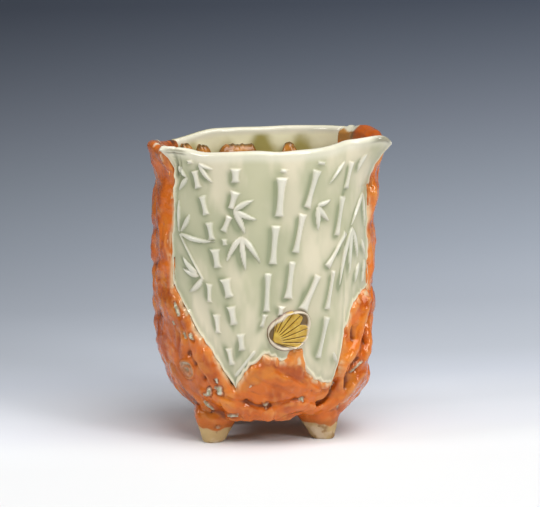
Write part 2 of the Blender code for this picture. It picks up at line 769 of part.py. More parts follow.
def make_button(name, place, half_sizes, thickness, crown, seat, material):
    """A pressed-on disc with a crown, whose back follows the face that it sits on."""
    angle, height = place
    half_width, half_height = half_sizes
    per_metre = degrees_for(1.0, angle)

    def ring(share, lift):
        points = []
        for i in range(BUTTON_SIDES):
            turn = 2 * math.pi * i / BUTTON_SIDES
            at = angle + half_width * share * math.cos(turn) * per_metre
            up = height + half_height * share * math.sin(turn)
            points.append(wall_point(at, up, seat(at, up) + LUTE + lift))
        return points

    rings = [ring(i / BUTTON_RINGS, 0.0) for i in range(1, BUTTON_RINGS + 1)]
    for i in range(BUTTON_RINGS):
        share = 1.0 - 0.9 * i / BUTTON_RINGS
        rings.append(ring(share * 0.96, thickness + crown * (1.0 - share ** 2)))
    return loft(name, rings, material)


def main():
    clear_scene()
    celadon = make_material("celadon_glaze", CELADON)
    bark = make_material("bark_glaze", BARK_GLAZE)
    yellow = make_material("yellow_glaze", YELLOW_GLAZE)
    make_slab("front_slab", FRONT_SLAB, FRONT_JOINTS, FRONT_LEAVES, celadon)
    make_slab("back_slab", BACK_SLAB, back_joints(), back_leaves(), celadon)
    make_apron("front_apron", FRONT_SLAB_ANGLES, FRONT_EDGE, bark)
    make_apron("back_apron", BACK_SLAB_ANGLES, BACK_EDGE, bark)
    make_spine(
        "left_spine", (BACK_SLAB_ANGLES[1] - 360.0, FRONT_SLAB_ANGLES[0]),
        (BACK_LIP_PULLS[1], FRONT_LIP_PULLS[0]), LEFT_SPINE_TOPS, LEFT_SPINE_PEAK_ANGLE, bark,
    )
    make_spine(
        "right_spine", (FRONT_SLAB_ANGLES[1], BACK_SLAB_ANGLES[0]),
        (FRONT_LIP_PULLS[1], BACK_LIP_PULLS[0]), RIGHT_SPINE_TOPS, RIGHT_SPINE_PEAK_ANGLE, bark,
    )
    make_liner(bark)
    make_floor(bark)
    for name, route in ROOTS.items():
        make_root(name, route, ROOT_HALF_WIDTH, ROOT_CROWN, bark)
    for name, route in THIN_ROOTS.items():
        make_root(name, route, THIN_ROOT_HALF_WIDTH, THIN_ROOT_CROWN, bark)
    for name, angles in BASE_ROOTS.items():
        make_root(name, base_route(angles), ROOT_HALF_WIDTH, ROOT_CROWN, bark)
    for name, angle in FOOT_ANGLES.items():
        make_foot(name, angle, bark)
    make_button(
        "medallion", (MEDALLION_ANGLE, MEDALLION_HEIGHT),
        (MEDALLION_HALF_WIDTH, MEDALLION_HALF_HEIGHT),
        MEDALLION_THICKNESS, MEDALLION_CROWN, slab_face, yellow,
    )
    make_button(
        "left_knot", (KNOT_ANGLE, KNOT_HEIGHT), (KNOT_RADIUS, KNOT_RADIUS),
        KNOT_THICKNESS, KNOT_CROWN, bark_skin, bark,
    )


main()
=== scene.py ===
# %% [markdown]
# # A hand-built tea cup
# This lesson dresses a plain solid model of a potter's tea cup. Two pale green slabs with raised
# bamboo stand in a cup of orange, bark-like clay with roots and small feet. We load the solid
# model as a fixed frame, build each visible skin as a fine mesh, and glaze it with nodes.

# %% Load the frame
import math
from collections import namedtuple

import bmesh
import bpy
import numpy as np
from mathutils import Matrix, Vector


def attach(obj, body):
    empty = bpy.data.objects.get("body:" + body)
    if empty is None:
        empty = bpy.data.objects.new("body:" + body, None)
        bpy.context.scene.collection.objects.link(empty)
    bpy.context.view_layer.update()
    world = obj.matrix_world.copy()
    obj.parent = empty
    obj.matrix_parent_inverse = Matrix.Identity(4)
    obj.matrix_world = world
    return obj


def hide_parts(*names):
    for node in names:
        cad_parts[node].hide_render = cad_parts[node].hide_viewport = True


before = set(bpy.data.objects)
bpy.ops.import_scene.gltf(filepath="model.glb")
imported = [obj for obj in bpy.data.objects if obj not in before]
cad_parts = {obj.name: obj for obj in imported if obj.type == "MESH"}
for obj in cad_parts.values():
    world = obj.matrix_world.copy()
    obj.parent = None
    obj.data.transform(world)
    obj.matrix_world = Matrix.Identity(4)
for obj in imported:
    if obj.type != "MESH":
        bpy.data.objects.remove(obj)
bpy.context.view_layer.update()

# %% [markdown]
# ## The wall, unrolled
# A potter rolls a slab flat on the bench and wraps it afterwards. We do the same: every skin is
# drawn on a flat sheet, with millimetres along the wall from the middle of the front and
# millimetres above the table, and one function wraps the sheet round the cup. The plan is an
# ellipse, and below the shoulder the wall tucks in towards the base.

# %% Sizes of the wall, in millimetres
MM = 0.001
HALF_WIDTH, HALF_DEPTH = 35.5, 31.5
RIM, SHOULDER, BASE = 99.5, 45, 10
BASE_TUCK, TUCK_POWER = 10.5, 3.26
SLAB_WALL, LINER_WALL = 3, 2.5
PLAN_STEPS = 1440

turns = np.radians(np.linspace(-180, 180, PLAN_STEPS + 1))
pace = np.hypot(HALF_WIDTH * np.cos(turns), HALF_DEPTH * np.sin(turns))
strides = (pace[1:] + pace[:-1]) / 2 * (turns[1] - turns[0])
around = np.concatenate([[0], np.cumsum(strides)])
around -= around[len(around) // 2]
GIRTH = around[-1] - around[0]
print("girth of the cup, mm:", round(GIRTH, 1))


# %% Wrapping and unrolling
def along(degrees):
    """Millimetres along the wall from the middle of the front."""
    turn = np.radians(degrees)
    laps = np.floor((turn + np.pi) / (2 * np.pi))
    return np.interp(turn - laps * 2 * np.pi, turns, around) + laps * GIRTH


def tuck(z):
    """How far the wall has come in at a height."""
    below = np.clip(SHOULDER - np.maximum(z, BASE), 0, None) / (SHOULDER - BASE)
    return BASE_TUCK * below**TUCK_POWER


def plan(turn):
    """A point of the ellipse and the direction straight out."""
    across, ahead = np.sin(turn), -np.cos(turn)
    nx, ny = across / HALF_WIDTH, ahead / HALF_DEPTH
    size = np.hypot(nx, ny)
    return HALF_WIDTH * across, HALF_DEPTH * ahead, nx / size, ny / size


def wrap(s, z, out):
    """Points in metres for places on the flat sheet, so far out from its face."""
    laps = np.floor((s + GIRTH / 2) / GIRTH)
    x, y, nx, ny = plan(np.interp(s - laps * GIRTH, around, turns))
    lean = out - tuck(z)
    return np.stack(np.broadcast_arrays(x + nx * lean, y + ny * lean, z), -1) * MM


def unroll(points, rounds=5):
    """Places on the flat sheet for points in metres, and how far out they lie."""
    x, y, z = (points / MM).T
    lean = np.zeros_like(x)
    for _ in range(rounds):
        turn = np.arctan2(x / (HALF_WIDTH + lean), -y / (HALF_DEPTH + lean))
        px, py, nx, ny = plan(turn)
        lean = (x - px) * nx + (y - py) * ny
    return along(np.degrees(turn)), z, lean + tuck(z)


print("a quarter of the way round, mm:", round(float(along(90)), 1))


# %% Small helpers for shapes drawn on the sheet
def ease(share):
    """0 to 1 with a soft start and end."""
    share = np.clip(share, 0, 1)
    return share * share * (3 - 2 * share)


def bell(reach):
    """1 in the middle, falling off softly on both sides."""
    return np.exp(-(reach**2))


def dome(reach):
    """A round back: 1 in the middle, and 0 from a reach of 1."""
    return np.sqrt(np.clip(1 - reach**2, 0, 1))


def hump(place, middle, reach):
    """An eased hump over a middle."""
    return ease(1 - np.abs(place - middle) / reach)


def span(place, start, rise, end, fall):
    """1 between a start and an end, with an eased rise and fall."""
    return ease((place - start) / rise) * ease((end - place) / fall)


def apart(s, place):
    """Distance along the sheet, the short way round the cup."""
    return (s - place + GIRTH / 2) % GIRTH - GIRTH / 2


def noise(s, z, cell, seed):
    """Smooth random swells from -1 to 1 that join up round the cup."""
    cells, rows = max(4, int(round(GIRTH / cell))), 64
    lattice = np.random.default_rng(seed).uniform(-1, 1, (cells, rows))
    u, v = s / GIRTH * cells, z / cell
    i, j = np.floor(u).astype(int), np.floor(v).astype(int)
    fu, fv = ease(u - i), ease(v - j)
    low, high = (
        lattice[i % cells, row % rows] * (1 - fu) + lattice[(i + 1) % cells, row % rows] * fu
        for row in (j, j + 1)
    )
    return low * (1 - fv) + high * fv


def soften(field, reach):
    """A field of numbers, blurred three times."""
    width = 2 * reach + 1
    for axis in (0, 0, 0, 1, 1, 1):
        padded = np.pad(field, [(reach + 1, reach) if a == axis else (0, 0) for a in (0, 1)], "edge")
        total, count = np.cumsum(padded, axis), field.shape[axis]
        first, last = (np.take(total, range(start, start + count), axis) for start in (0, width))
        field = (last - first) / width
    return field


print("noise on the sheet starts at", round(float(noise(np.zeros(1), np.zeros(1), 5, 1)[0]), 2))

# %% [markdown]
# ## Turning sheets into solids
# Each skin is a loft: a closed outline through the wall at every column, joined to the next one.
# We write the outlines as one block of points, and this helper skins them, closes the ends and
# keeps the numbers that the glaze will need on the points.

# %% Lofting
def keep_readings(mesh, readings):
    """Keeps numbers for the glaze on the points of a mesh."""
    for key, values in readings.items():
        attribute = mesh.attributes.new(key, "FLOAT", "POINT")
        attribute.data.foreach_set("value", values.reshape(-1).astype(np.float32))


def put_in_scene(name, data):
    """A new object for some data, linked to the scene."""
    thing = bpy.data.objects.new(name, data)
    bpy.context.scene.collection.objects.link(thing)
    return thing


def loft_faces(count, size, ring):
    """Faces over a block of outlines, and one over each open end."""
    rows = np.arange(count if ring else count - 1)
    i, j = np.meshgrid(rows, np.arange(size), indexing="ij")
    here, there, k = i * size, (i + 1) % count * size, (j + 1) % size
    faces = np.stack([here + j, here + k, there + k, there + j], -1).reshape(-1, 4).tolist()
    ends = [] if ring else [list(range(size)), list(range((count - 1) * size, count * size))]
    return faces + ends


def loft(name, block, readings=None, ring=False):
    """A closed, smooth solid from a block of points, one outline per column."""
    mesh = bpy.data.meshes.new(name)
    mesh.from_pydata(block.reshape(-1, 3).tolist(), [], loft_faces(*block.shape[:2], ring))
    form = bmesh.new()
    form.from_mesh(mesh)
    bmesh.ops.recalc_face_normals(form, faces=form.faces)
    form.to_mesh(mesh)
    form.free()
    mesh.shade_smooth()
    keep_readings(mesh, readings or {})
    print(name, "has", len(mesh.polygons), "faces")
    return put_in_scene(name, mesh)


# %% [markdown]
# ## Bamboo on the slab
# On the real cup the bamboo stands a little proud of the slab: stems made of short joints that
# flare at both ends, and sprays of narrow leaves. It could be a bump map, but then the edges would
# not catch the light or show in the mesh, so each joint and leaf is a small raised shape on the
# flat sheet. Every shape is written as its two ends in millimetres.

# %% Shapes of the relief
JOINT_RISE, LEAF_RISE, STEM_RISE = 0.8, 0.7, 0.5
JOINT_BEVEL, JOINT_WAIST, JOINT_FLARE = 0.75, 0.62, 0.38


def from_axis(s, z, start, end):
    """Share of the way along a line, distance to its side, and its length."""
    ds, dz = end[0] - start[0], end[1] - start[1]
    length = math.hypot(ds, dz)
    share = ((s - start[0]) * ds + (z - start[1]) * dz) / length**2
    side = ((s - start[0]) * dz - (z - start[1]) * ds) / length
    return share, side, length


def to_line(s, z, start, end):
    """Distance to a short line with round ends."""
    share, side, length = from_axis(s, z, start, end)
    return np.hypot(side, np.maximum(np.abs(share - 0.5) - 0.5, 0) * length)


def bamboo_joint(s, z, top, foot, half_top, half_foot):
    """One joint of a stem, waisted in the middle."""
    share, side, length = from_axis(s, z, top, foot)
    inside = np.clip(share, 0, 1)
    flare = JOINT_WAIST + JOINT_FLARE * np.abs(2 * inside - 1) ** 3
    half = (half_top * (1 - inside) + half_foot * inside) * flare
    to_edge = np.minimum(half - np.abs(side), np.minimum(share, 1 - share) * length)
    crown = 0.7 + 0.3 * np.clip(1 - (side / half) ** 2, 0, 1)
    return JOINT_RISE * ease(to_edge / JOINT_BEVEL + 0.25) * crown


def bamboo_leaf(s, z, base, tip, half, bend):
    """A narrow leaf with a keel, bent sideways."""
    share, side, _ = from_axis(s, z, base, tip)
    inside = np.clip(share, 0, 1)
    bulge = 4 * inside * (1 - inside)
    width = np.maximum(half * np.sin(np.pi * inside**0.7) ** 0.8, 0.02)
    keel = dome((side - bend * bulge) / width)
    return np.where((share > 0) & (share < 1), LEAF_RISE * keel * (0.55 + 0.45 * ease(bulge)), 0)


def bamboo_twig(s, z, start, end, half):
    """A thin round twig."""
    return STEM_RISE * dome(to_line(s, z, start, end) / half)


def relief_of(joints, leaves, twigs=()):
    """A function that gives the height of all the shapes."""
    kinds = ((bamboo_joint, joints), (bamboo_leaf, leaves), (bamboo_twig, twigs))

    def relief(s, z):
        rise = np.zeros(np.broadcast(s, z).shape)
        for draw, shapes in kinds:
            for shape in shapes:
                rise = np.maximum(rise, draw(s, z, *shape))
        return rise

    return relief


print("bamboo stands", JOINT_RISE, "mm proud")

# %% Layout of the front slab
# A joint: its top, its foot, and half its width at each. A leaf: base, tip, half width and bend.
# A twig: its ends and half its width.
FRONT_JOINTS = [
    ((-31, 95.3), (-30.8, 94.2), 1.5, 1.4), ((-29, 92), (-27.5, 86.5), 1.6, 1.5),
    ((-26, 84), (-24.5, 78), 1.5, 1.4), ((-23.5, 75.5), (-22.5, 70), 1.6, 1.4),
    ((-21.5, 67), (-20.5, 61), 2, 1.5), ((-18, 57.5), (-16.5, 51.5), 2.1, 1.7),
    ((-16, 48.5), (-15, 42.5), 1.7, 1.5), ((-13, 39.5), (-12.5, 34), 1.6, 1.3),
    ((-23.5, 55.5), (-23.5, 49.5), 1.3, 0.9), ((-21, 45.5), (-20.5, 39.5), 1.5, 0.9),
    ((-17, 34.5), (-16, 29), 1.3, 1.2), ((-14.5, 93.5), (-14.5, 89), 2, 1.6),
    ((-14.5, 86), (-16, 80.5), 1.9, 1.1), ((-16.5, 78), (-18.5, 73), 1.2, 1.3),
    ((-18.2, 70.5), (-18, 68.5), 1.2, 0.9), ((1.2, 93.2), (1, 92.2), 1.6, 1.6),
    ((0.5, 90.5), (-0.5, 78), 2, 1.5), ((-1.5, 75), (-2.5, 62.5), 1.6, 1.4),
    ((-4, 59.5), (-4.5, 47), 1.3, 1.2), ((-5, 46), (-6, 42), 1.1, 0.9), ((14.2, 95.2), (14, 94.2), 2, 2),
    ((12.5, 92.5), (9, 80.5), 1.7, 1.3), ((7.5, 78.5), (5, 66), 1.5, 1.3),
    ((4, 63), (2.5, 51), 1.2, 1.6), ((0.5, 48.5), (0, 45.5), 1.5, 1.1),
    ((27, 94), (24.5, 85.5), 1.3, 1.2), ((23, 83), (20.5, 70.5), 1.4, 1.2),
    ((19, 59), (16.5, 46.5), 0.9, 1.2), ((16.5, 44), (13.5, 30.5), 1.3, 1.2),
    ((24.5, 71), (16.5, 60.5), 0.9, 1.3), ((13, 58), (7.5, 47), 1.3, 1.8),
]
FRONT_LEAVES = [
    ((-27.5, 94.5), (-22, 93), 0.6, 0.2), ((-27.5, 94.5), (-22, 88.5), 0.8, 0.4),
    ((-36, 93), (-32, 89.5), 0.9, 0.3), ((-32, 89.5), (-35.5, 85), 0.9, 0.2),
    ((-31, 77.5), (-35, 71.5), 0.9, -0.3), ((-35.5, 82), (-35.5, 70.5), 0.6, 0.2),
    ((-35, 71), (-21.5, 69.5), 0.9, 0.7), ((-28, 58.5), (-34, 63.5), 1, -0.6),
    ((-27.5, 57.7), (-34, 59.7), 0.9, -0.4), ((-26, 57), (-31.5, 52), 1, -0.5),
    ((-15, 80), (-8.5, 83.5), 0.9, -0.3), ((-15, 80), (-7.5, 77), 0.9, 0.3),
    ((-15, 80), (-11.5, 72.5), 1, -0.3), ((-12.5, 71.5), (-17.5, 63), 0.9, 0.5),
    ((-12.5, 71.5), (-11, 60), 0.9, 0.3), ((-12.5, 71.5), (-6.5, 63), 0.9, -0.3),
    ((12.8, 81), (18, 82.7), 0.7, 0.4), ((12.8, 80.8), (17.2, 75.5), 0.9, 0.2),
    ((12.6, 80.5), (12.9, 72.5), 0.9, -0.2), ((24, 94.5), (17, 87.5), 0.6, 0.2),
    ((32, 96), (30, 90.5), 0.8, 0.2), ((35, 83), (27, 72.5), 0.8, 0.4),
    ((35.3, 82.5), (36.5, 71), 0.7, 0.2), ((28, 72.5), (21.5, 53.5), 0.9, 0.9),
    ((28, 72), (26.5, 56.5), 0.9, 0.4), ((28.2, 72), (31, 61.5), 0.9, -0.4),
    ((34, 67.5), (36.5, 62), 0.7, 0.2), ((32, 60), (29.5, 53.5), 0.9, 0.3),
    ((36, 60.5), (34.5, 52.5), 0.7, 0.2), ((19.5, 32), (22, 27.5), 0.6, 0.2),
]
FRONT_TWIGS = [
    ((-35, 70.5), (-26, 57), 0.42), ((-14.8, 25.5), (-8.5, 33.5), 0.55),
]
front_relief = relief_of(FRONT_JOINTS, FRONT_LEAVES, FRONT_TWIGS)
print("front relief:", len(FRONT_JOINTS), "joints,", len(FRONT_LEAVES), "leaves")

# %% [markdown]
# ## Layout of the back slab
# The back gets the same kind of grove. Drawing it shape by shape would take another long list, so
# it grows by a rule: each stem leans a little and stacks joints of one length up to the lip, and
# sprays of three leaves hang between the stems.

# %% Growing the back grove
BACK_ENDS = (along(119), along(234))
# A stem: place and height of its foot, lean, length of a joint and half its width.
BACK_STEMS = [
    (76, 45, 0.1, 5.2, 1.3), (84, 30, 0.04, 6.4, 1.5), (94, 34, 0.09, 8.6, 1.6),
    (104, 42, -0.06, 9.4, 1.5), (113, 41, -0.02, 7.2, 1.7), (122, 30, 0.03, 6, 1.4),
    (130, 42, -0.05, 5.4, 1.3),
]
# A spray: place, height and the side that it hangs to.
SPRAYS = [
    (81, 78, 1), (98, 71, -1), (107, 84, 1), (118, 66, 1), (127, 83, -1), (90, 56, 1),
]
SPRAY_LEAVES = ((-20, 6.5), (-62, 8.5), (-100, 9.5))
JOINT_GAP, BARE_TOP, FOOT_TAPER = 2.4, 3.5, 0.85

back_joints, back_leaves = [], []
for foot, low, lean, length, half in BACK_STEMS:
    z = low
    while z + length < RIM - BARE_TOP:
        bottom, top = ((foot + lean * (height - low), height) for height in (z, z + length))
        back_joints.append((top, bottom, half, half * FOOT_TAPER))
        z += length + JOINT_GAP
for s, z, hand in SPRAYS:
    for angle, reach in SPRAY_LEAVES:
        droop = math.radians(angle)
        tip = (s + hand * reach * math.cos(droop), z + reach * math.sin(droop))
        back_leaves.append(((s, z), tip, 1, 0.3 * hand))
back_relief = relief_of(back_joints, back_leaves)
print("back relief:", len(back_joints), "joints,", len(back_leaves), "leaves")

# %% [markdown]
# ## The slabs
# A slab is cut, torn along its lower edge and wrapped. Its edges are rolled round with a fine
# ridge behind them, its lip is rounded and pulled out at the front corners, and the left corner
# has a crease where the clay was folded. The torn edge is a row of points, a few of them sharp,
# with a little unevenness added. The mesh is fine enough, about a third of a millimetre, to hold
# the relief.

# %% Torn edges and the lip
FRONT_ENDS = (along(-65.3), along(66))
# A torn edge: degrees round the cup, and height.
FRONT_EDGE = [
    (-63, 52.5), (-57.5, 48.2), (-48, 40.5), (-37.5, 32.2), (-31.5, 26.6), (-25, 20.2), (-21.5, 24),
    (-16, 28.2), (-8, 32.2), (1, 30.2), (12, 29.8), (14, 27.2), (22, 22.8), (28, 20.8), (34.5, 20.8),
    (36.8, 26), (38.5, 32), (39.5, 38), (47, 46.2), (56, 49.5), (66, 51),
]
BACK_EDGE = [
    (119, 50), (128, 44), (140, 30), (152, 22), (163, 28), (172, 36), (181, 37.5), (189, 33), (198, 24),
    (207, 23), (217, 34), (226, 45), (234, 52),
]
LIP_DEPTH, LIP_POWER, LIP_ROUND = 14.5, 1.4, 1.5
# A lip is pulled out: place, pull, reach and power. It is lifted or let down: place, lift and reach.
FRONT_PULLS = [
    (FRONT_ENDS[0], 7, 8.5, 4.6), (FRONT_ENDS[1], 7.1, 15, 2.2), (FRONT_ENDS[1], 2.2, 12, 0.6),
]
FRONT_LIFTS = [
    (FRONT_ENDS[1], -1.8, 6), (FRONT_ENDS[1] - 5.5, 1.6, 24), (FRONT_ENDS[1] - 3, 1.5, 8),
    (0, -0.5, 24), (-23, -1.2, 18),
]
BACK_PULLS = [(BACK_ENDS[0], 0.4, 36, LIP_POWER), (BACK_ENDS[1], 0.2, 22, LIP_POWER)]
BACK_LIFTS = [(BACK_ENDS[0], 1.2, 36), (BACK_ENDS[1], -2.2, 22)]
# Seeds of the slabs' unevenness, with a step for a right edge, and the bite out of the front's left edge.
FRONT_SEED, BACK_SEED, RIGHT_SIDE = 20, 40, 5
BITE_HEIGHT, BITE_HALF, BITE_DEPTH = 88, 10, 1.8

Slab = namedtuple("Slab", "ends edge pulls lifts relief seed folded")


def torn_edge(corners, seed):
    """A function that gives the height of a torn edge along the sheet."""
    places, heights = [along(angle) for angle, _ in corners], [height for _, height in corners]

    def edge(s):
        ragged = 0.45 * noise(s, 0, 2.6, seed) + 0.25 * noise(s, 0, 1, seed + 1)
        return np.interp(s, places, heights) + ragged

    return edge


def ragged_side(z, seed):
    """How far a slab's side edge wanders at each height."""
    bite = BITE_DEPTH * hump(z, BITE_HEIGHT, BITE_HALF) * (seed == FRONT_SEED)
    return bite + 0.7 * noise(0, z, 5, seed) + 0.3 * noise(0, z, 1.7, seed + 1)


def up_lip(z):
    """0 up to the foot of the lip, and 1 at the rim."""
    return np.clip(z - (RIM - LIP_DEPTH), 0, None) / LIP_DEPTH


def lip_pull(s, z, slab):
    """How far the lip is pulled out near the corners of a slab."""
    up = up_lip(z)
    return sum(pull * hump(s, place, reach) * up**power for place, pull, reach, power in slab.pulls)


def lip_height(s, slab):
    """The top of a slab, lifted or let down along its lip."""
    lift = sum(rise * hump(s, place, reach) for place, rise, reach in slab.lifts)
    return RIM + lift + 0.3 * noise(s, 0, 9, slab.seed)


front_edge, back_edge = torn_edge(FRONT_EDGE, 11), torn_edge(BACK_EDGE, 12)
FRONT = Slab(FRONT_ENDS, front_edge, FRONT_PULLS, FRONT_LIFTS, front_relief, FRONT_SEED, folded=True)
BACK = Slab(BACK_ENDS, back_edge, BACK_PULLS, BACK_LIFTS, back_relief, BACK_SEED, folded=False)
print("slabs, mm along the wall:", [round(float(slab.ends[1] - slab.ends[0]), 1) for slab in (FRONT, BACK)])

# %% The outside of a slab
SLAB_COLUMNS, SLAB_ROWS, INNER_ROWS, LIP_STEPS = 236, 240, 40, 11
EDGE_ROLL, EDGE_RIDGE, SIDE_REACH = 0.9, 0.45, 6
FOLD_FOOT, FOLD_TOP = along(-60.9), along(-59.9)


def fold_line(s, z):
    """The crease at the left corner and the wrinkles beside it."""
    place = FOLD_FOOT + (FOLD_TOP - FOLD_FOOT) * ease((z - 84) / 15)
    strength = ease((z - 79) / 9)
    wrinkles = ease((place + 0.2 - s) / 0.8) * (0.75 * noise(s, z * 0.25, 1.1, 71) + 0.65)
    second = bell((s - place - 1.4) / 0.35) * span(z, 86, 4, 97, 3)
    crease = bell((s - place) / 0.42) * (0.75 + 0.5 * noise(s, z * 0.4, 1.6, 72)) + 0.6 * second
    return strength * (wrinkles - 1.3 * crease), strength * crease


def slab_face(slab):
    """Place, height, reach, relief and distance to the edge over a slab's outside."""
    flat = np.linspace(*slab.ends, SLAB_COLUMNS)[:, None]
    low, lip = slab.edge(flat), lip_height(flat, slab) - LIP_ROUND
    z = low + (lip - low) * np.linspace(0, 1, SLAB_ROWS)
    sides = (flat - slab.ends[0], slab.ends[1] - flat)
    s = flat
    for side, seed in zip(sides, (slab.seed, slab.seed + RIGHT_SIDE)):
        s = s + ease(1 - side / SIDE_REACH) * ragged_side(z, seed)
    slope = np.gradient(low[:, 0], flat[:, 0])[:, None]
    to_edge = np.minimum((z - low) / np.hypot(1, slope), np.minimum(*sides) + 0 * z)
    rise = slab.relief(s, z) * ease((to_edge - 0.5) / 0.9) * ease((lip - z) / 2)
    swell = 0.22 * noise(s, z, 16, slab.seed + 3) + 0.1 * noise(s, z, 6, slab.seed + 4)
    roll = EDGE_ROLL * (1 - dome(np.clip(1 - to_edge / EDGE_ROLL, 0, 1)))
    ridge = EDGE_RIDGE * (1 + 0.5 * noise(s, z, 1.8, slab.seed + 6)) * bell((to_edge - 0.9) / 0.6)
    return s, z, lip_pull(s, z, slab) + swell - roll + ridge + rise, rise, to_edge


print("a slab's outside has", SLAB_COLUMNS, "columns of", SLAB_ROWS, "points")

# %% What the glaze of a slab needs to know
# Runs of olive glaze inside the back slab: degrees, and how much sooner they start.
DRIPS = [(173, 6.5), (149, 5), (193, 2), (218, 5.5), (231, 6), (110, 4)]
DRIP_REACH = 3.6
# Rings of pooled glaze and painted shade beside the relief, shifted to its lower left: share, reach in
# cells, and height that fills it.
POOL_AND_SHADE_RINGS = ((0.8, 2, 0.3), (0.7, 9, 0.22))
SHADE_STEP = 3
BEAK_INSET, FOLD_INSET = 4.8, 4


def drips(s):
    """How much sooner the olive glaze starts below the lip."""
    return sum(amount * bell(apart(s, along(angle)) / DRIP_REACH) for angle, amount in DRIPS)


def over_slab(outside, lip=0, inside=0):
    """One reading over the outside, the lip and the inside of a slab."""
    widths = (SLAB_ROWS, LIP_STEPS - 2, INNER_ROWS)
    parts = zip((outside, lip, inside), widths)
    return np.concatenate([np.broadcast_to(part, (SLAB_COLUMNS, width)) for part, width in parts], 1)


def pooled_and_shaded(rise):
    """Where glaze gathers beside the relief, with painted shade on its lower left side."""
    # A copy of the relief moved down and to the left, then blurred, puts the painted shade low and to the
    # left of it.
    shade = np.roll(rise, (-SHADE_STEP, -SHADE_STEP), (0, 1))
    return sum(share * np.clip((soften(shade, reach) - rise) / full, 0, 1) for share, reach, full in POOL_AND_SHADE_RINGS)


def corner_slit_shade(slab, s, below, sweep):
    """Painted shade of slits at the front corners, under the lip and over its edge."""
    corners = (slab.ends[1] - BEAK_INSET, slab.ends[0] + FOLD_INSET)
    beak, fold = (ease(1.4 - np.abs(s[:, -1:] - place) / 2.4) * slab.folded for place in corners)
    under = ease(1 - below) * beak + bell((below - 0.4) / 0.35) * fold
    return under, beak * ease((1.35 - sweep) / 0.5) + fold * ease((0.8 - sweep) / 0.3)


print("olive drips inside the back:", len(DRIPS))

# %% Making the slabs
def build_slab(name, slab):
    """A slab as one closed mesh, with its glaze readings."""
    s, z, outer, rise, to_edge = slab_face(slab)
    fold, crease = fold_line(s, z) if slab.folded else (0 * z, 0 * z)
    outer = outer + fold * ease(to_edge / 0.6)
    back = lip_pull(s, z, slab) - SLAB_WALL
    brink, top = outer[:, -1:], z[:, -1:]
    radius = np.minimum(LIP_ROUND, (brink - back[:, -1:]) / 2)
    sweep = np.linspace(0, np.pi, LIP_STEPS)[1:-1]
    rows = np.linspace(SLAB_ROWS - 1, 0, INNER_ROWS).round().astype(int)
    inner_s, inner_z = s[:, rows], z[:, rows]
    settle = ease((top - inner_z) / 6)
    inner = (brink - 2 * radius) * (1 - settle) + back[:, rows] * settle
    inner = inner + 0.25 * noise(inner_s, inner_z, 9, slab.seed + 8) * settle
    outs = np.concatenate([outer, brink - radius * (1 - np.cos(sweep)), inner], 1)
    heights = np.concatenate([z, top + radius * np.sin(sweep), inner_z], 1)
    places = over_slab(s, s[:, -1:], inner_s)
    under_lip_shade, over_lip_shade = corner_slit_shade(slab, s, top - z, sweep)
    seam = ease((sweep - 1.7) / 0.8) if slab.folded else ease((2.05 - sweep) / 0.5)
    readings = {
        "proud": over_slab(ease(rise / 0.55)),
        # The pool reading is pooled glaze plus painted shade, to the lower left of the relief and in the
        # fold crease.
        "pool_and_shade": over_slab(np.maximum(pooled_and_shaded(rise) * ease((to_edge - 0.3) / 1.5), 1.2 * crease)),
        "tab": over_slab(ease(fold / 0.5)),
        # The crack reading is painted shade in the fold crease and the corner slits.
        "crack_shade": over_slab(np.maximum(ease((crease - 0.45) / 0.4), under_lip_shade), over_lip_shade),
        "edge": over_slab(1 - ease((to_edge - 0.9) / 0.7)),
        "brim": over_slab(span(to_edge, 0.8, 1, 4.5, 3)),
        "lip": over_slab(1 - ease((top - z) / 3), 1, 1),
        "inside": over_slab(0, 0, ease((top - inner_z) / 1.5)),
        "seam": over_slab(0, seam),
        "depth": over_slab(0, 0, top - inner_z) + drips(places),
    }
    return loft(name, wrap(places, heights, outs), readings)


front_slab, back_slab = build_slab("front_slab_skin", FRONT), build_slab("back_slab_skin", BACK)
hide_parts("front_slab")
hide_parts("back_slab")

# %% [markdown]
# ## Bark and roots
# The orange part is soft clay that was pinched, torn and smeared, with coils laid on it as roots.
# Single coils stuck onto a plain wall would look like worms. So the wall is a landscape on the flat
# sheet: slow lumps, wrinkles, roots with round backs, sharp creases between them, and small nubs
# and pits. The sheet and the feet are then melted into one skin with a voxel remesh, and the fine
# texture is pushed into that skin.

# %% Layout of the bark
# A root or a crease: its route in degrees and millimetres, half its width, and its height or depth.
ROOTS = [
    ([(-63, 46), (-56, 41), (-46, 33), (-38, 25.5), (-30, 18.5), (-24, 16)], 3.8, 0.5),
    ([(-46, 17.5), (-38, 16.5), (-31, 14.1), (-23, 12), (-14, 11), (-5, 10.8)], 2.6, 1.3),
    ([(-5, 10.8), (1, 11.6), (8, 13.6), (16, 14), (22, 12.6),
      (28, 11), (35, 11.6), (41, 13)], 2.6, 1.4),
    ([(58, 48), (54, 40), (51.5, 35), (47, 31.4), (42, 28.5),
      (39.2, 25), (40.2, 21), (41.5, 17.4), (44, 13)], 1.7, 1.6),
    ([(76, 46), (70, 40), (65, 34), (61, 28), (57, 22), (52, 16)], 3.8, 1.3),
    ([(66, 44), (60, 32), (57, 28.5), (50, 26.5), (44, 24)], 1.5, 1),
    ([(56, 21), (50, 17.2), (45.5, 14), (42, 11.4)], 2.2, 0.9),
    ([(111, 50), (122, 40), (132, 28), (142, 18)], 2.8, 1.5),
    ([(146, 15), (153, 12), (165, 11.5), (178, 13.2), (191, 14.2), (203, 12), (212, 13)], 2.6, 1.5),
    ([(242, 50), (232, 41), (223, 29), (214, 18)], 2.8, 1.5),
    ([(-73, 24), (-66, 18), (-55, 14), (-46, 12)], 2.6, 0.8),
    ([(-115, 90), (-109, 70), (-115, 52), (-110, 36)], 4, 0.6),
    ([(84, 92), (80, 76), (85, 62)], 3.5, 0.5), ([(104, 94), (108, 76), (102, 58), (107, 40)], 4, 0.6),
]
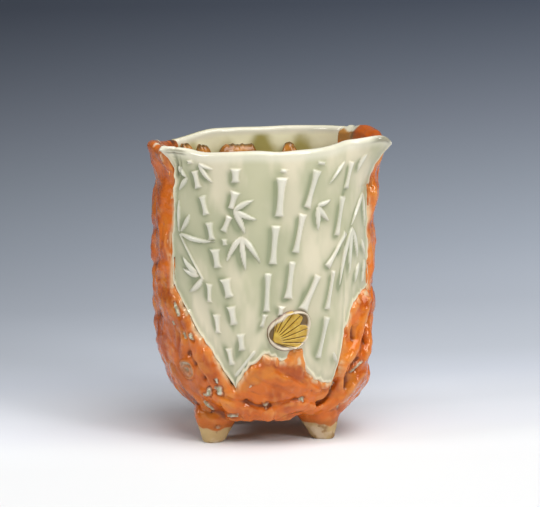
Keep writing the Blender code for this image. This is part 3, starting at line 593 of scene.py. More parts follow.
CREASES = [
    ([(-60, 48.5), (-55.5, 40), (-52, 35.5), (-51.6, 30.6), (-47, 27.2),
      (-42.8, 23.7), (-40.5, 21)], 0.9, 0.35),
    ([(-30, 17.5), (-19.4, 15.4), (-11, 14.2), (3.6, 15.8), (14.8, 16.7),
      (25, 14.2), (31, 14.2)], 0.9, 0.42),
    ([(37.4, 22), (37, 18.8), (35.6, 16.3), (33.4, 14.2), (30, 13.6)], 1.2, 1.35),
    ([(46.1, 39), (45.6, 35)], 0.7, 0.9), ([(57.8, 35.5), (57.4, 32.5)], 0.6, 0.9),
    ([(52, 28), (47.4, 25.6), (44, 22.5), (44.5, 18.5)], 0.8, 0.95), ([(58, 46), (57.5, 41)], 0.6, 0.8),
    ([(-66, 17), (-58, 12.2), (-48, 10.6)], 0.6, 0.8),
    ([(-14, 25), (-6, 22.4), (2, 20.8), (8, 18.8)], 1, 0.4),
    ([(-4, 29), (2, 26), (8, 24.6), (15, 22)], 0.9, 0.4),
    ([(-20, 20.5), (-12, 18.6), (-4, 18)], 0.9, 0.35),
    ([(10, 28.5), (16, 24.5), (22, 21.4), (29, 18.6)], 0.8, 0.45),
    ([(17, 19.2), (25, 17.4), (32, 19)], 0.8, 0.35), ([(-60, 38), (-62, 30), (-60, 22)], 0.8, 0.4),
    ([(-114, 70.5), (-98, 69), (-84, 71)], 2, 0.35), ([(-114, 57.5), (-100, 57), (-86, 59)], 1.8, 0.5),
    ([(-112, 41), (-98, 40), (-82, 43)], 2, 0.35),
]
# A nub: its two ends, size and rise. A pit: angle, height, size and depth.
NUBS = [
    ((-41.4, 18.8), (-41.4, 19.8), 0.95, 0.6), ((-34.7, 19.2), (-34.4, 20.6), 0.95, 0.6),
    ((-49.6, 14.5), (-45.6, 12.2), 0.55, 0.3), ((-34.4, 10.2), (-27.6, 10), 0.5, 0.3),
    ((-8.4, 14.6), (-7, 14.6), 0.55, 0.3), ((14, 16.5), (15.6, 16.5), 0.55, 0.3),
    ((-49.2, 37.4), (-49.2, 38), 0.65, 0.4), ((-44.6, 5.7), (-43.8, 5.7), 0.5, 0.3),
    ((37, 20.3), (36.2, 18.6), 0.5, 0.3), ((-16.5, 21.5), (-16, 21.8), 0.4, 0.2),
    ((53.2, 26.6), (48.6, 24), 0.4, 0.2), ((-61.2, 48), (-58.4, 44.4), 0.45, 0.2),
    ((-54.2, 38.2), (-54, 37), 0.35, 0.2), ((-35.4, 23.6), (-35, 22.6), 0.4, 0.2),
    ((43.8, 11.8), (43.2, 12.2), 0.45, 0.2), ((-63.2, 41.3), (-62.8, 40.6), 0.35, 0.2),
]
PITS = [
    (-53.2, 31.3, 0.8, 0.9), (-43, 23.6, 0.8, 1), (-19.4, 15.9, 0.8, 0.8), (-48.7, 28.3, 0.6, 0.7),
]
KNOT_ANGLE, KNOT_HEIGHT, KNOT_SIZE = -56.4, 25.7, 3.2
print("bark:", len(ROOTS), "roots,", len(CREASES), "creases,", len(NUBS), "nubs")

# %% Distances on the bark
FAR, ROUTE_STEPS, ROUTE_ROUNDS = 1e9, 14, 10
SIDE_STEP, TEAR_STEP, OVER_RIM = 0.6, 0.3, 8


def to_points(s, z, points):
    """Distance to the nearest of some points on the sheet."""
    nearest = np.full(np.broadcast(s, z).shape, FAR)
    for ps, pz in points:
        nearest = np.minimum(nearest, np.hypot(apart(s, ps), z - pz))
    return nearest


def to_route(s, z, route):
    """Distance to a smooth route given as angles and heights."""
    corners = np.array([(along(angle), height) for angle, height in route])
    ways = np.linspace(0, len(corners) - 1, ROUTE_STEPS * len(corners))
    fine = np.stack([np.interp(ways, range(len(corners)), corners[:, k]) for k in (0, 1)], 1)
    for _ in range(ROUTE_ROUNDS):
        fine[1:-1] = (fine[:-2] + fine[2:]) / 2
    return to_points(s, z, fine)


def within(s, first, last):
    """True where a place lies between two places, going round the cup."""
    return (s - first) % GIRTH < last - first


def in_lap(s, ends):
    """The same place on the sheet, counted on from a slab's first end."""
    first, last = ends
    return first + apart(s, (first + last) / 2) + (last - first) / 2


def slab_sides(slab, z):
    """Where the two side edges of a slab run at each height."""
    return [end + ragged_side(z, slab.seed + step) for end, step in zip(slab.ends, (0, RIGHT_SIDE))]


def to_border(s, z):
    """Distance outside the slabs: positive on the bark, negative on a slab."""
    result = np.full(np.broadcast(s, z).shape, FAR)
    for slab in (FRONT, BACK):
        heights = np.arange(slab.edge(np.array(slab.ends[0])), RIM + OVER_RIM, SIDE_STEP)
        tears = np.arange(*slab.ends, TEAR_STEP)
        rows = [(tears, slab.edge(tears))] + [(side, heights) for side in slab_sides(slab, heights)]
        near = to_points(s, z, np.concatenate([np.stack(row, 1) for row in rows]))
        held = within(s, *slab_sides(slab, z)) & (z > slab.edge(in_lap(s, slab.ends)))
        result = np.minimum(result, np.where(held, -near, near))
    return result


def spot_reach(s, z, start, end, size):
    """Distance to a nub's line, in shares of its size, a little uneven."""
    a, b = along(start[0]), along(end[0])
    reach = to_line(a + apart(s, a), z, (a, start[1]), (b, end[1])) / size
    return reach * (1 + 0.45 * noise(s, z, 0.9, 95) + 0.45 * noise(s, z, 1.6, 96))


print("from the front's middle to its border, mm:", round(-float(to_border(0, SHOULDER)), 1))

# %% The landscape of the bark
# How the sides swell: amount, height and reach, either below a height or round it.
RIGHT_BELOW, RIGHT_ROUND = [(3.8, 25, 9)], [(1.1, 84, 14), (-0.9, 38, 9)]
LEFT_BELOW = [(-1.6, 18, 8), (-0.6, 46, 8), (-0.6, 32, 10)]
LEFT_ROUND = [(-1, 88, 9)]
BARK_RISE, RIGHT_RISE = 0.8, 0.3
LEFT_SWELL, LEFT_SWELL_PLACE, LEFT_SWELL_REACH = 0.6, along(-101), 4.5
LOWEST, HIGHEST = -1.6, 4.2


def knot_rings(s, z):
    """Height of the ring knot, its pale groove and its dark outline."""
    ds, dz = apart(s, along(KNOT_ANGLE)), z - KNOT_HEIGHT
    reach, facing = np.hypot(ds, dz) / KNOT_SIZE, np.cos(np.arctan2(dz, ds) - 0.9)
    wall = 0.65 * bell((reach - 0.95) / 0.18) + 0.55 * bell((reach - 0.48) / 0.14)
    groove = bell((reach - 0.74) / 0.17) * (0.55 + 0.45 * facing) + 0.9 * bell(reach / 0.34)
    outline = bell((reach - 1.18) / 0.14) * (0.55 - 0.45 * facing)
    return wall - 0.7 * groove - 0.5 * outline, groove, outline


def bark_lumps(s, z):
    """Slow lumps that close up round the cup."""
    turn = np.interp((s + GIRTH / 2) % GIRTH - GIRTH / 2, around, turns)
    lumps = 0.45 * np.sin(9 * turn + z / 5) * np.cos(z / 8 - 3 * turn)
    return lumps + 0.22 * np.sin(14 * turn - z / 3.6)


def bark_face(s, z):
    """How far the bark stands out, without its fine detail."""
    right, left = span(s, 20, 15, 90, 15), span(s, -97, 14, -25, 12)
    out = BARK_RISE + RIGHT_RISE * right
    for share, below, round_it in ((right, RIGHT_BELOW, RIGHT_ROUND), (left, LEFT_BELOW, LEFT_ROUND)):
        for amount, height, reach in below:
            out = out + amount * share * ease((height - z) / reach)
        for amount, height, reach in round_it:
            out = out + amount * share * hump(z, height, reach)
    swell = bell(apart(s, LEFT_SWELL_PLACE) / LEFT_SWELL_REACH) * span(z, 32, 8, 94, 8)
    out = out + LEFT_SWELL * swell + bark_lumps(s, z) + 0.5 * noise(s, z * 0.8, 6.5, 61)
    for route, half, crown in ROOTS:
        out = out + crown * dome(to_route(s, z, route) / half)
    for route, half, depth in CREASES:
        out = out - depth * bell(to_route(s, z, route) / half)
    return np.clip(out, LOWEST, HIGHEST)


def bark_detail(s, z, border):
    """Wrinkles, creases, knot, pits and nubs for the melted skin."""
    bend = s + 1.2 * noise(s, z, 5, 62)
    out = 0.26 * noise(bend, z, 3.4, 66) + 0.16 * noise(bend, z, 1.7, 65) + 0.03 * noise(s, z, 1.1, 91)
    out = out + 0.16 * ease((56 - z) / 14) * (1 - 2 * np.abs(noise(bend, z * 0.6, 3.2, 63)))
    out = out + bell(border / 1.8) * (0.7 * noise(s, z * 0.35, 1.3, 64) + 0.15)
    for route, half, depth in CREASES:
        out = out - 0.7 * depth * bell(to_route(s, z, route) / (0.6 * half))
    out = out + knot_rings(s, z)[0]
    for angle, height, size, depth in PITS:
        out = out - depth * bell(np.hypot(apart(s, along(angle)), z - height) / size)
    for start, end, size, rise in NUBS:
        reach = spot_reach(s, z, start, end, size)
        out = out + rise * dome(reach) - 0.6 * bell((reach - 1.25) / 0.3)
    return out


print("the bark stands out by up to", HIGHEST, "mm")

# %% The top of the bark
UNDER_LAP, KNOB_LAP = 1.1, 1.4
# Along the two spines, in degrees, right then left: the height of the top, and how far it leans out.
SPINE_TOPS = [
    (66, 96.8), (74, 99.4), (90, 101.4), (98, 102), (107, 101.2), (119, 100.4), (234, 97), (255, 98.3),
    (272, 99.7), (294.7, 98.5),
]
SPINE_LEANS = [
    (66, 6), (73, 5.2), (80, 4.2), (90, 2.6), (100, 1.4), (119, 0.4), (234, 0.2), (255, 1.5), (272, 3.2),
    (294.7, 4.4),
]


def along_spines(s, rows):
    """A number that changes along the two spines."""
    angles, values = np.array(rows).T
    return np.interp((s - FRONT_ENDS[1]) % GIRTH + FRONT_ENDS[1], along(angles), values)


def bark_top(s):
    """The top of the bark: just under the torn edges, and high on the spines."""
    top = along_spines(s, SPINE_TOPS) + 0.5 * noise(s, 0, 3.2, 77)
    for slab, lap in ((FRONT, UNDER_LAP), (BACK, KNOB_LAP)):
        covered = within(s, slab.ends[0] + lap, slab.ends[1] - UNDER_LAP)
        top = np.where(covered, slab.edge(in_lap(s, slab.ends)) + UNDER_LAP, top)
    return top


def bark_lean(s, z):
    """How far the tops of the spines lean out."""
    return along_spines(s, SPINE_LEANS) * up_lip(z) ** LIP_POWER


print("highest point of the bark, mm:", max(height for _, height in SPINE_TOPS))

# %% The bark as one sheet round the cup
BARK_BACK, BARK_LOW, BARK_ROUND = -3.2, 8.5, 1.8
BARK_COLUMNS, BARK_ROWS, BARK_INNER_ROWS, BARK_TOP_STEPS = 480, 210, 30, 9
TUCKED, FOOT_ROLL, CAP_THICKENING = 0.45, 1.4, 1.2

s = np.linspace(-GIRTH / 2, GIRTH / 2, BARK_COLUMNS, endpoint=False)[:, None]
top = bark_top(s)
low = BARK_LOW + 0.7 * noise(s, 0, 6, 78) + 0.6 * span(s, 2, 8, 22, 6)
climb = top - BARK_ROUND - low
z = low + climb * np.linspace(0, 1, BARK_ROWS)
meet = ease((to_border(s, z) + 0.4) / 1.8)
outer = -TUCKED + (bark_face(s, z) + TUCKED) * meet + bark_lean(s, z)
outer = outer - FOOT_ROLL * (1 - dome(np.clip(1 - (z - low) / BARK_ROUND, 0, 1)))
brink, brow = outer[:, -1:], z[:, -1:]
back = BARK_BACK + bark_lean(s, brow) - CAP_THICKENING * ease((brow - 99) / 3)
sweep = np.linspace(0, np.pi, BARK_TOP_STEPS)[1:-1]
inner_z = low + climb * np.linspace(1, 0, BARK_INNER_ROWS)
thicker = CAP_THICKENING * ease((top - 99) / 3) * ease((inner_z - 88) / 8)
inner = BARK_BACK + bark_lean(s, inner_z) - thicker
outs = np.concatenate([outer, brink - (brink - back) / 2 * (1 - np.cos(sweep)), inner], 1)
heights = np.concatenate([z, brow + BARK_ROUND * np.sin(sweep), inner_z], 1)
bark_sheet = loft("bark_sheet", wrap(s, heights, outs), ring=True)

# %% The frayed tongue below the button
TONGUE_ENDS, TONGUE_LOW, TONGUE_TOP, TONGUE_STEPS = (along(-1), along(15)), 26, 33.4, 30
s = np.linspace(*TONGUE_ENDS, TONGUE_STEPS)[:, None]
side = np.minimum(s - TONGUE_ENDS[0], TONGUE_ENDS[1] - s)
climb = np.minimum(ease((s - TONGUE_ENDS[0]) / 4), ease((TONGUE_ENDS[1] - s) / 2))
top = TONGUE_LOW + 0.5 + (TONGUE_TOP - TONGUE_LOW + 0.9 * noise(s, 0, 1.5, 81)) * climb
z = TONGUE_LOW + (top - TONGUE_LOW) * np.linspace(0, 1, TONGUE_STEPS)
rim = np.minimum(side, top - z)
cover = -0.4 + 1.1 * np.sqrt(np.clip(rim / 1.4, 0, 1)) + 0.4 * noise(s, z, 1.7, 82) * ease(rim)
behind = np.full_like(cover, -1.2)
tongue = loft("tongue", wrap(s, np.concatenate([z, z[:, ::-1]], 1), np.concatenate([cover, behind], 1)))

# %% Feet
FOOT_ANGLES = {"front_left": -52, "front_right": 48.5, "back_left": -145, "back_right": 120}
# The outline of a foot: height and radius.
FOOT_PROFILE = [(0, 3.1), (0.4, 3.6), (2, 4.1), (4, 4.9), (6, 5.9), (8, 6.9), (10, 7.4), (12.5, 6.8)]
FOOT_INSET, FOOT_LEAN, FOOT_SIDES = 1.6, 0.22, 40


def foot_stump(name, angle, seed):
    """A stump of clay with an uneven outline, flat where it stands."""
    x, y, nx, ny = plan(np.radians(angle))
    turn = np.linspace(0, 2 * np.pi, FOOT_SIDES, endpoint=False)
    rings = []
    for z, radius in FOOT_PROFILE:
        inset = BASE_TUCK + FOOT_INSET + FOOT_LEAN * z
        ring = radius * (1 + 0.08 * np.sin(2 * turn + seed) + 0.05 * np.sin(3 * turn + 2 * seed + 0.2 * z))
        across, ahead = x - nx * inset + ring * np.cos(turn), y - ny * inset + ring * np.sin(turn)
        rings.append(np.stack([across, ahead, 0 * turn + z], 1))
    return loft(name, np.array(rings) * MM)


stumps = [foot_stump(name + "_stump", angle, k + 1) for k, (name, angle) in enumerate(FOOT_ANGLES.items())]

# %% Melting the bark together
VOXEL = 0.00048
HIDDEN_SHARE, HIDDEN_WEIGHT = 0.6, 10
HIDDEN_OUT, HIDDEN_LOW, HIDDEN_HIGH = -1.2, 12, 86


def read_points(mesh, kind="co"):
    """The place of each point of a mesh in metres, or its normal."""
    values = np.zeros(3 * len(mesh.vertices), np.float32)
    mesh.vertices.foreach_get(kind, values)
    return values.reshape(-1, 3).astype(float)


def new_skin(rough, name):
    """The mesh of an object after its modifiers, as a new object."""
    skin = bpy.data.meshes.new_from_object(rough.evaluated_get(bpy.context.evaluated_depsgraph_get()))
    bpy.data.objects.remove(rough, do_unlink=True)
    return put_in_scene(name, skin)


def melt(name, parts):
    """Joins closed parts into one skin with a voxel remesh."""
    form = bmesh.new()
    for part in parts:
        form.from_mesh(part.data)
        bpy.data.objects.remove(part, do_unlink=True)
    mesh = bpy.data.meshes.new(name)
    form.to_mesh(mesh)
    form.free()
    rough = put_in_scene(name + "_rough", mesh)
    remesh = rough.modifiers.new("melt", "REMESH")
    remesh.mode = "VOXEL"
    remesh.voxel_size = VOXEL
    return new_skin(rough, name)


def thin_hidden(piece):
    """Fewer faces on the hidden back of the bark."""
    _, z, out = unroll(read_points(piece.data))
    hidden = np.flatnonzero((out < HIDDEN_OUT) & (z > HIDDEN_LOW) & (z < HIDDEN_HIGH))
    group = piece.vertex_groups.new(name="hidden")
    group.add(hidden.tolist(), 1, "REPLACE")
    fewer = piece.modifiers.new("fewer", "DECIMATE")
    fewer.ratio = HIDDEN_SHARE
    fewer.vertex_group = group.name
    fewer.vertex_group_factor = HIDDEN_WEIGHT
    return new_skin(piece, "bark")


bark = thin_hidden(melt("bark_melt", [bark_sheet, tongue] + stumps))
mesh = bark.data
mesh.calc_loop_triangles()
print("bark has", len(mesh.loop_triangles), "triangles")

# %% Fine texture of the bark
RELAX, SKIN_ROUNDS, RIDGE_ROUNDS, DEEP_ROUNDS = 0.6, 2, 14, 120
SOLE = 0.25
edges = np.zeros(2 * len(mesh.edges), np.int32)
mesh.edges.foreach_get("vertices", edges)
edges = edges.reshape(-1, 2)
neighbours = np.bincount(edges.ravel(), minlength=len(mesh.vertices)).astype(float)[:, None]


def relaxed(points, rounds):
    """Points moved towards the mean of their neighbours, again and again."""
    for _ in range(rounds):
        total = np.zeros_like(points)
        for a, b in ((0, 1), (1, 0)):
            for k in range(3):
                total[:, k] += np.bincount(edges[:, a], points[edges[:, b], k], len(points))
        points = points + RELAX * (total / neighbours - points)
    return points


def move_points(points):
    """Moves the points of the bark."""
    mesh.vertices.foreach_set("co", points.astype(np.float32).ravel())
    mesh.update()


points = relaxed(read_points(mesh), SKIN_ROUNDS)
move_points(points)
s, z, out = unroll(points)
border = to_border(s, z)
show = ease((out + 1.2) / 0.6) * ease((z - 1) / 2)
points = points + read_points(mesh, "normal") * (bark_detail(s, z, border) * show * MM)[:, None]
points[:, 2] = np.where(points[:, 2] < SOLE * MM, 0, points[:, 2])
move_points(points)
mesh.shade_smooth()
normals = read_points(mesh, "normal")
ridge, deep = (
    np.einsum("ij,ij->i", points - relaxed(points, rounds), normals) / MM
    for rounds in (RIDGE_ROUNDS, DEEP_ROUNDS)
)
print("ridge from", ridge.min().round(2), "to", ridge.max().round(2), "deep from", deep.min().round(2))


# %% Glaze readings of the bark
def pale_and_dark(s, z):
    """Pale spots on the nubs and the knot, and the dark round them."""
    _, spots, dark = knot_rings(s, z)
    for start, end, size, _ in NUBS:
        reach = spot_reach(s, z, start, end, size)
        spots = np.maximum(spots, 1 - ease((reach - 0.6) / 0.5))
        dark = np.maximum(dark, bell((reach - 1.25) / 0.3))
    low_left = span(s, -62, 10, -22, 10) * ease((54 - z) / 8)
    return spots, np.maximum(dark, low_left * (0.45 + 0.5 * noise(s, z, 5, 100)))


def frayed(s, z, border):
    """Pale torn clay along the slabs and on the tongue."""
    on_tongue = within(s, *TONGUE_ENDS) & (z > TONGUE_LOW + 2)
    fray = np.maximum(bell(border / 0.75), on_tongue * ease((z - 28) / 3))
    at_end = span(s, BACK_ENDS[0] - 5.5, 2, BACK_ENDS[0] + 3, 2) * ease((z - 90) / 3)
    return fray * (1 - np.where(s > 0, 0.7, 0.95) * ease((z - 80) / 8)) * (1 - at_end)


def spine_tops(s, z, out):
    """Ochre, charred crust, orange knobs and pale caps on top of the spines."""
    high, on_right = ease((z - 94.5) / 2.5), s < BACK_ENDS[0] + 4
    on_left = (s < FRONT_ENDS[0] - 0.5) & (s > BACK_ENDS[1] - GIRTH)
    char = 0.6 * bell((s - along(103.5) - 0.8 * noise(s, z, 2, 92)) / 1.3)
    crust = high * (char + hump(apart(s, BACK_ENDS[1] + 2.5), 0, 5.5))
    knob = high * span(s, along(68), 3, along(104), 2)
    knob = np.maximum(knob, 0.8 * on_left * ease((z - 92) / 3))
    cap = ease((z - 99.6 - 0.5 * noise(s, 0, 1.4, 97)) / 0.7) * ease((s - along(102)) / 1.5) * on_right
    torn = ease((z - along_spines(s, SPINE_TOPS) + 1.3) / 0.6) * ease(noise(s, z, 2.1, 98) / 0.25 - 0.3)
    torn = torn * ease((out + 1.2 + 1.5 * noise(s, z, 2.3, 99)) / 0.8)
    ochre = high * ease((s - along(101)) / 2) * on_right
    return {"ochre": ochre, "crust": crust, "knob": knob, "cap": np.maximum(cap, 0.9 * torn * on_left)}


spots, dark = pale_and_dark(s, z)
glaze_line = 4.6 + noise(s, 0, 3.5, 93) + 0.3 * noise(s, 0, 1.2, 94)
bark_readings = {
    "ridge": ridge, "deep": deep, "bare": 1 - ease((z - glaze_line) / 0.6), "spot": spots, "dark": dark,
    # The streak reading marks painted glints: pale streaks by the border on the left spine.
    "fray": frayed(s, z, border), "glint_streak": bell(border / 2.4) * (s < 0) * ease((z - 50) / 10),
    **spine_tops(s, z, out), "tide": span(z, 4, 1, 8.5, 3),
}
keep_readings(mesh, bark_readings)
print("readings on the bark:", ", ".join(bark_readings))
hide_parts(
    "front_apron", "back_apron", "left_spine", "right_spine", "left_front_root", "front_base_root",
    "right_front_root", "right_side_root", "right_back_root", "back_base_root", "left_back_root",
    "left_knot", "front_left_foot", "front_right_foot", "back_left_foot", "back_right_foot",
)

# %% [markdown]
# ## The liner and the floor
# Inside, the orange clay shows again: a tube behind the slabs with a torn top edge, closed by a
# floor. The tear is drawn on the flat sheet as a height that rises in ragged patches.

# %% Liner
LINER_COLUMNS, LINER_ROWS, OUTER_STEP = 420, 70, 10
LINER_LOW, LINER_TOP = BASE + 0.2, 90
LINER_BACK, LINER_FACE = -SLAB_WALL - 0.25, -SLAB_WALL - 0.3 - LINER_WALL
TORN_THINNING, TORN_REACH = 1.8, 2.6
# A patch that stands higher: its last and first angle, and its height.
PATCHES = [
    (232, 222, 96), (215.5, 206, 94.8), (199.5, 176, 93.6), (160, 151, 93.7),
    (40, 20, 94), (-30, -50, 94.5), (90, 70, 95),
]


def torn_top(s):
    """The top of the liner: low, with ragged patches that stand higher."""
    top = LINER_TOP + 0.9 * noise(s, 0, 7, 101)
    for last, first, height in PATCHES:
        middle, half = along((first + last) / 2), abs(along(last) - along(first)) / 2
        patch = ease((half + 1.2 - np.abs(apart(s, middle))) / 2.6)
        top = np.maximum(top, LINER_TOP + (height - LINER_TOP) * patch)
    return top + 0.8 * noise(s, 0, 2.6, 102) + 0.35 * noise(s, 0, 0.9, 104)


s = np.linspace(-GIRTH / 2, GIRTH / 2, LINER_COLUMNS, endpoint=False)[:, None]
top = torn_top(s)
z = LINER_LOW + (top - LINER_LOW) * np.linspace(0, 1, LINER_ROWS)
thin = TORN_THINNING * (1 - np.sqrt(np.clip((top - z) / TORN_REACH, 0, 1)))
rough = 0.25 * noise(s, z, 8, 103) + 0.35 * noise(s, z, 1.6, 105) * ease((z - 88) / 3)
inner = LINER_FACE + thin + rough * ease((top - z) / 1.5)
outer_z = z[:, ::-OUTER_STEP]
outs = np.concatenate([inner, np.full_like(outer_z, LINER_BACK)], 1)
liner_readings = {"lip": np.concatenate([1 - ease((top - z - 0.4) / 0.8), 0 * outer_z], 1)}
liner = loft("liner_skin", wrap(s, np.concatenate([z, outer_z], 1), outs), liner_readings, ring=True)
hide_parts("liner")

# %% Floor
FLOOR_TOP, FLOOR_RISE, FLOOR_POWER, FLOOR_LAP = 14.5, 2.2, 5, 0.2
FLOOR_SIDES, FLOOR_RINGS, FLOOR_EYE = 96, 20, 0.03
s = np.linspace(-GIRTH / 2, GIRTH / 2, FLOOR_SIDES, endpoint=False)
shares = np.linspace(FLOOR_EYE, 1, FLOOR_RINGS)[:, None]
upper = FLOOR_TOP + FLOOR_RISE * shares[::-1] ** FLOOR_POWER
heights = np.concatenate([np.full_like(upper, LINER_LOW), upper])
block = wrap(s, heights + 0 * s, LINER_FACE + FLOOR_LAP)
block[..., :2] *= np.concatenate([shares, shares[::-1]])[:, None]
floor_dish = loft("floor_dish", block)
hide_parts("floor_slab")

# %% [markdown]
# ## The gold button
# A small stamped button of clay sits above the front bark. It carries a raised fan leaf in golden
# glaze with dark veins, and a cream rim. It is drawn as a height over its own disc and pressed
# against the slab, so that its back follows the curve of the wall.

# %% Button
BUTTON_PLACE = (along(4.7), 40.4)
# The outline of the button: direction in degrees, and reach.
BUTTON_CORNERS = [
    (-86, 6.6), (-48, 6.6), (0, 6.8), (24, 8.2), (40, 8.8), (71, 7.1), (128, 5.6), (187, 7.8), (230, 7.3),
]
BUTTON_SIDES, BUTTON_RINGS, BUTTON_BACK_RINGS = 160, 64, 8
BUTTON_RIM, BUTTON_BACK = 0.6, -0.2
STALK, LEAF_TURN, LEAF_HALF_ANGLE = (-5.6, -3.3), 31, 52


def button_outline(turn):
    """The uneven outline of the button, as a reach in each direction."""
    angles, reaches = np.array(BUTTON_CORNERS, float).T
    steps = np.linspace(-13, 13, 15)
    return np.mean([np.interp(np.degrees(turn) + step, angles, reaches, period=360) for step in steps], 0)


def fan_leaf(u, v):
    """A ginkgo leaf: a fan from a stalk, with a notch and dark veins."""
    du, dv = u - STALK[0], v - STALK[1]
    reach, turn = np.hypot(du, dv), np.arctan2(dv, du)
    bearing = (turn - math.radians(LEAF_TURN)) / math.radians(LEAF_HALF_ANGLE)
    rim = 12.6 - 2 * bell(bearing / 0.09) - 2.6 * bearing**2 + 0.2 * np.sin(13 * bearing)
    inside = np.minimum(np.minimum(rim - reach, (1 - np.abs(bearing)) * reach * 0.75), (reach - 0.5) * 2)
    body = ease(inside / 0.45 + 0.25)
    veins = np.clip(1 - np.abs((bearing * 4.5 + 0.5) % 1 - 0.5) * reach * 0.75, 0, 1)
    return body, body * veins * ease((reach - 2) / 2)


turn = np.linspace(0, 2 * np.pi, BUTTON_SIDES, endpoint=False)
outline = button_outline(turn)
back_shares, face_shares = np.linspace(0.05, 1, BUTTON_BACK_RINGS), np.linspace(1, 0.02, BUTTON_RINGS)
shares = np.concatenate([back_shares, face_shares])[:, None]
u, v = outline * shares * np.cos(turn), outline * shares * np.sin(turn)
leaf, veins = fan_leaf(u, v)
to_rim = (1 - shares) * outline
width = BUTTON_RIM * (1 + 0.45 * np.sin(3 * turn + 1) + 0.3 * np.sin(7 * turn))
rim = bell((to_rim - 0.75) / width)
lift = 0.6 + 0.7 * leaf - 0.45 * veins + (0.75 + 0.2 * np.sin(9 * turn)) * rim
lift = lift - 0.9 * (1 - ease(to_rim / 0.8))
lift[:BUTTON_BACK_RINGS] = BUTTON_BACK
button_readings = {
    # The outer reading marks painted shade round the button's edge.
    "leaf": leaf * (1 - veins), "rim": ease(rim * 1.3 - 0.2), "outer": 1 - ease(to_rim / 0.5),
}
button = loft("gold_button", wrap(BUTTON_PLACE[0] + u, BUTTON_PLACE[1] + v, lift), button_readings)
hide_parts("medallion")

# %% [markdown]
# ## Glazes
# Every finish is a glaze over clay: a coloured layer that is thin and pale on high places, thick and darker
# where it pools, with a smooth glassy surface over it. Part of that paleness on high places and darkness in
# low ones is painted highlight and painted shade. The readings on the points say where is high and where is
# low, and noise breaks them up.

# %% A glaze in layers
class Glaze:
    """A Principled material whose colour is laid on in layers."""

    def __init__(self, name, roughness, under=None):
        self.material = bpy.data.materials.new(name)
        self.material.use_nodes = True
        self.tree = self.material.node_tree
        self.inputs = self.tree.nodes["Principled BSDF"].inputs
        self.inputs["Roughness"].default_value = roughness
        self.colour = under

    def feed(self, socket, value):
        """Gives an input a link or a fixed value."""
        if isinstance(value, bpy.types.NodeSocket):
            self.tree.links.new(value, socket)
        else:
            socket.default_value = value

    def add(self, kind, inputs):
        """A new node, with links or values for some of its inputs."""
        node = self.tree.nodes.new("ShaderNode" + kind)
        for key, value in inputs.items():
            self.feed(node.inputs[key], value)
        return node

    def reading(self, key):
        """A number kept on the points of the mesh."""
        node = self.add("Attribute", {})
        node.attribute_name = key
        return node.outputs["Fac"]

    def mottle(self, scale, detail, stretch=(1, 1, 1)):
        """Noise in the object's own space."""
        place = self.add("TexCoord", {}).outputs["Object"]
        shape = self.add("Mapping", {"Vector": place, "Scale": stretch}).outputs["Vector"]
        return self.add("TexNoise", {"Vector": shape, "Scale": scale, "Detail": detail}).outputs["Fac"]

    def sums(self, kind, a, b):
        """Arithmetic on two sockets or numbers."""
        node = self.add("Math", {0: a, 1: b})
        node.operation = kind
        return node.outputs[0]

    def times(self, a, b):
        """The product of two sockets or numbers."""
        return self.sums("MULTIPLY", a, b)

    def between(self, value, low, high):
        """A soft step of a socket from low to high."""
        node = self.add("MapRange", {"Value": value, "From Min": low, "From Max": high})
        node.interpolation_type = "SMOOTHSTEP"
        return node.outputs["Result"]

    def patches(self, low, high, *pattern):
        """Soft patches where the noise lies between low and high."""
        return self.between(self.mottle(*pattern), low, high)

    def mixed(self, share, under, over):
        """One colour over another. Each is a socket or a colour."""
        node = self.add("Mix", {})
        node.data_type = "RGBA"
        for key, value in ((0, share), (6, under), (7, over)):
            self.feed(node.inputs[key], (*value, 1) if isinstance(value, tuple) else value)
        return node.outputs[2]

    def lay(self, share, over):
        """Lays a colour over the glaze so far."""
        self.colour = self.mixed(share, self.colour, over)

    def brush(self, key, share, over):
        """Lays a share of a colour where a reading is high."""
        self.lay(self.times(self.reading(key), share), over)

    def finish(self, grain, detail, strength, distance):
        """Gives the shader its colour and a fine unevenness."""
        bump = {"Height": self.mottle(grain, detail), "Strength": strength, "Distance": distance}
        self.feed(self.inputs["Base Color"], self.colour)
        self.feed(self.inputs["Normal"], self.add("Bump", bump).outputs["Normal"])
        print(self.material.name, "has", len(self.tree.nodes), "nodes")


# %% Pale green glaze
CREAM = (0.735, 0.665, 0.49)
PALE_GREEN = (0.535, 0.52, 0.345)
# Pooled green glaze, also used as painted shade beside the relief.
POOL_AND_SHADE_GREEN = (0.29, 0.315, 0.185)
BONE_WHITE = (0.715, 0.695, 0.61)
STRAW = (0.82, 0.75, 0.55)
YELLOWED = (0.86, 0.84, 0.57)
# Pale cream of the lip, partly a painted highlight along the rim.
LIP_CREAM_AND_HIGHLIGHT = (0.76, 0.735, 0.6)
OLIVE = (0.33, 0.285, 0.055)
# Painted shade for the fold crease and the corner slits.
CREVICE_SHADE = (0.14, 0.125, 0.07)
# A layer: the reading that it follows, its share and its colour.
GREEN_LAYERS = [
    ("brim", 0.35, POOL_AND_SHADE_GREEN), ("pool_and_shade", 0.85, POOL_AND_SHADE_GREEN), ("proud", 0.7, BONE_WHITE),
    ("tab", 0.6, STRAW), ("edge", 0.9, STRAW), ("lip", 0.7, LIP_CREAM_AND_HIGHLIGHT), ("crack_shade", 0.7, CREVICE_SHADE),
]

green = Glaze("pale_green_glaze", 0.1, PALE_GREEN)
green.lay(green.patches(0.4, 0.6, 85, 3, (1, 1, 0.4)), CREAM)
for key, share, paint in GREEN_LAYERS:
    green.brush(key, share, paint)
seep = green.sums("ADD", green.reading("depth"), green.times(green.mottle(95, 3), 8))
green.brush("inside", 0.9, green.mixed(green.between(seep, 6.5, 14.5), YELLOWED, OLIVE))
green.brush("seam", 0.6, OLIVE)
green.finish(380, 2, 0.1, 0.0006)
for slab in (front_slab, back_slab):
    slab.data.materials.append(green.material)
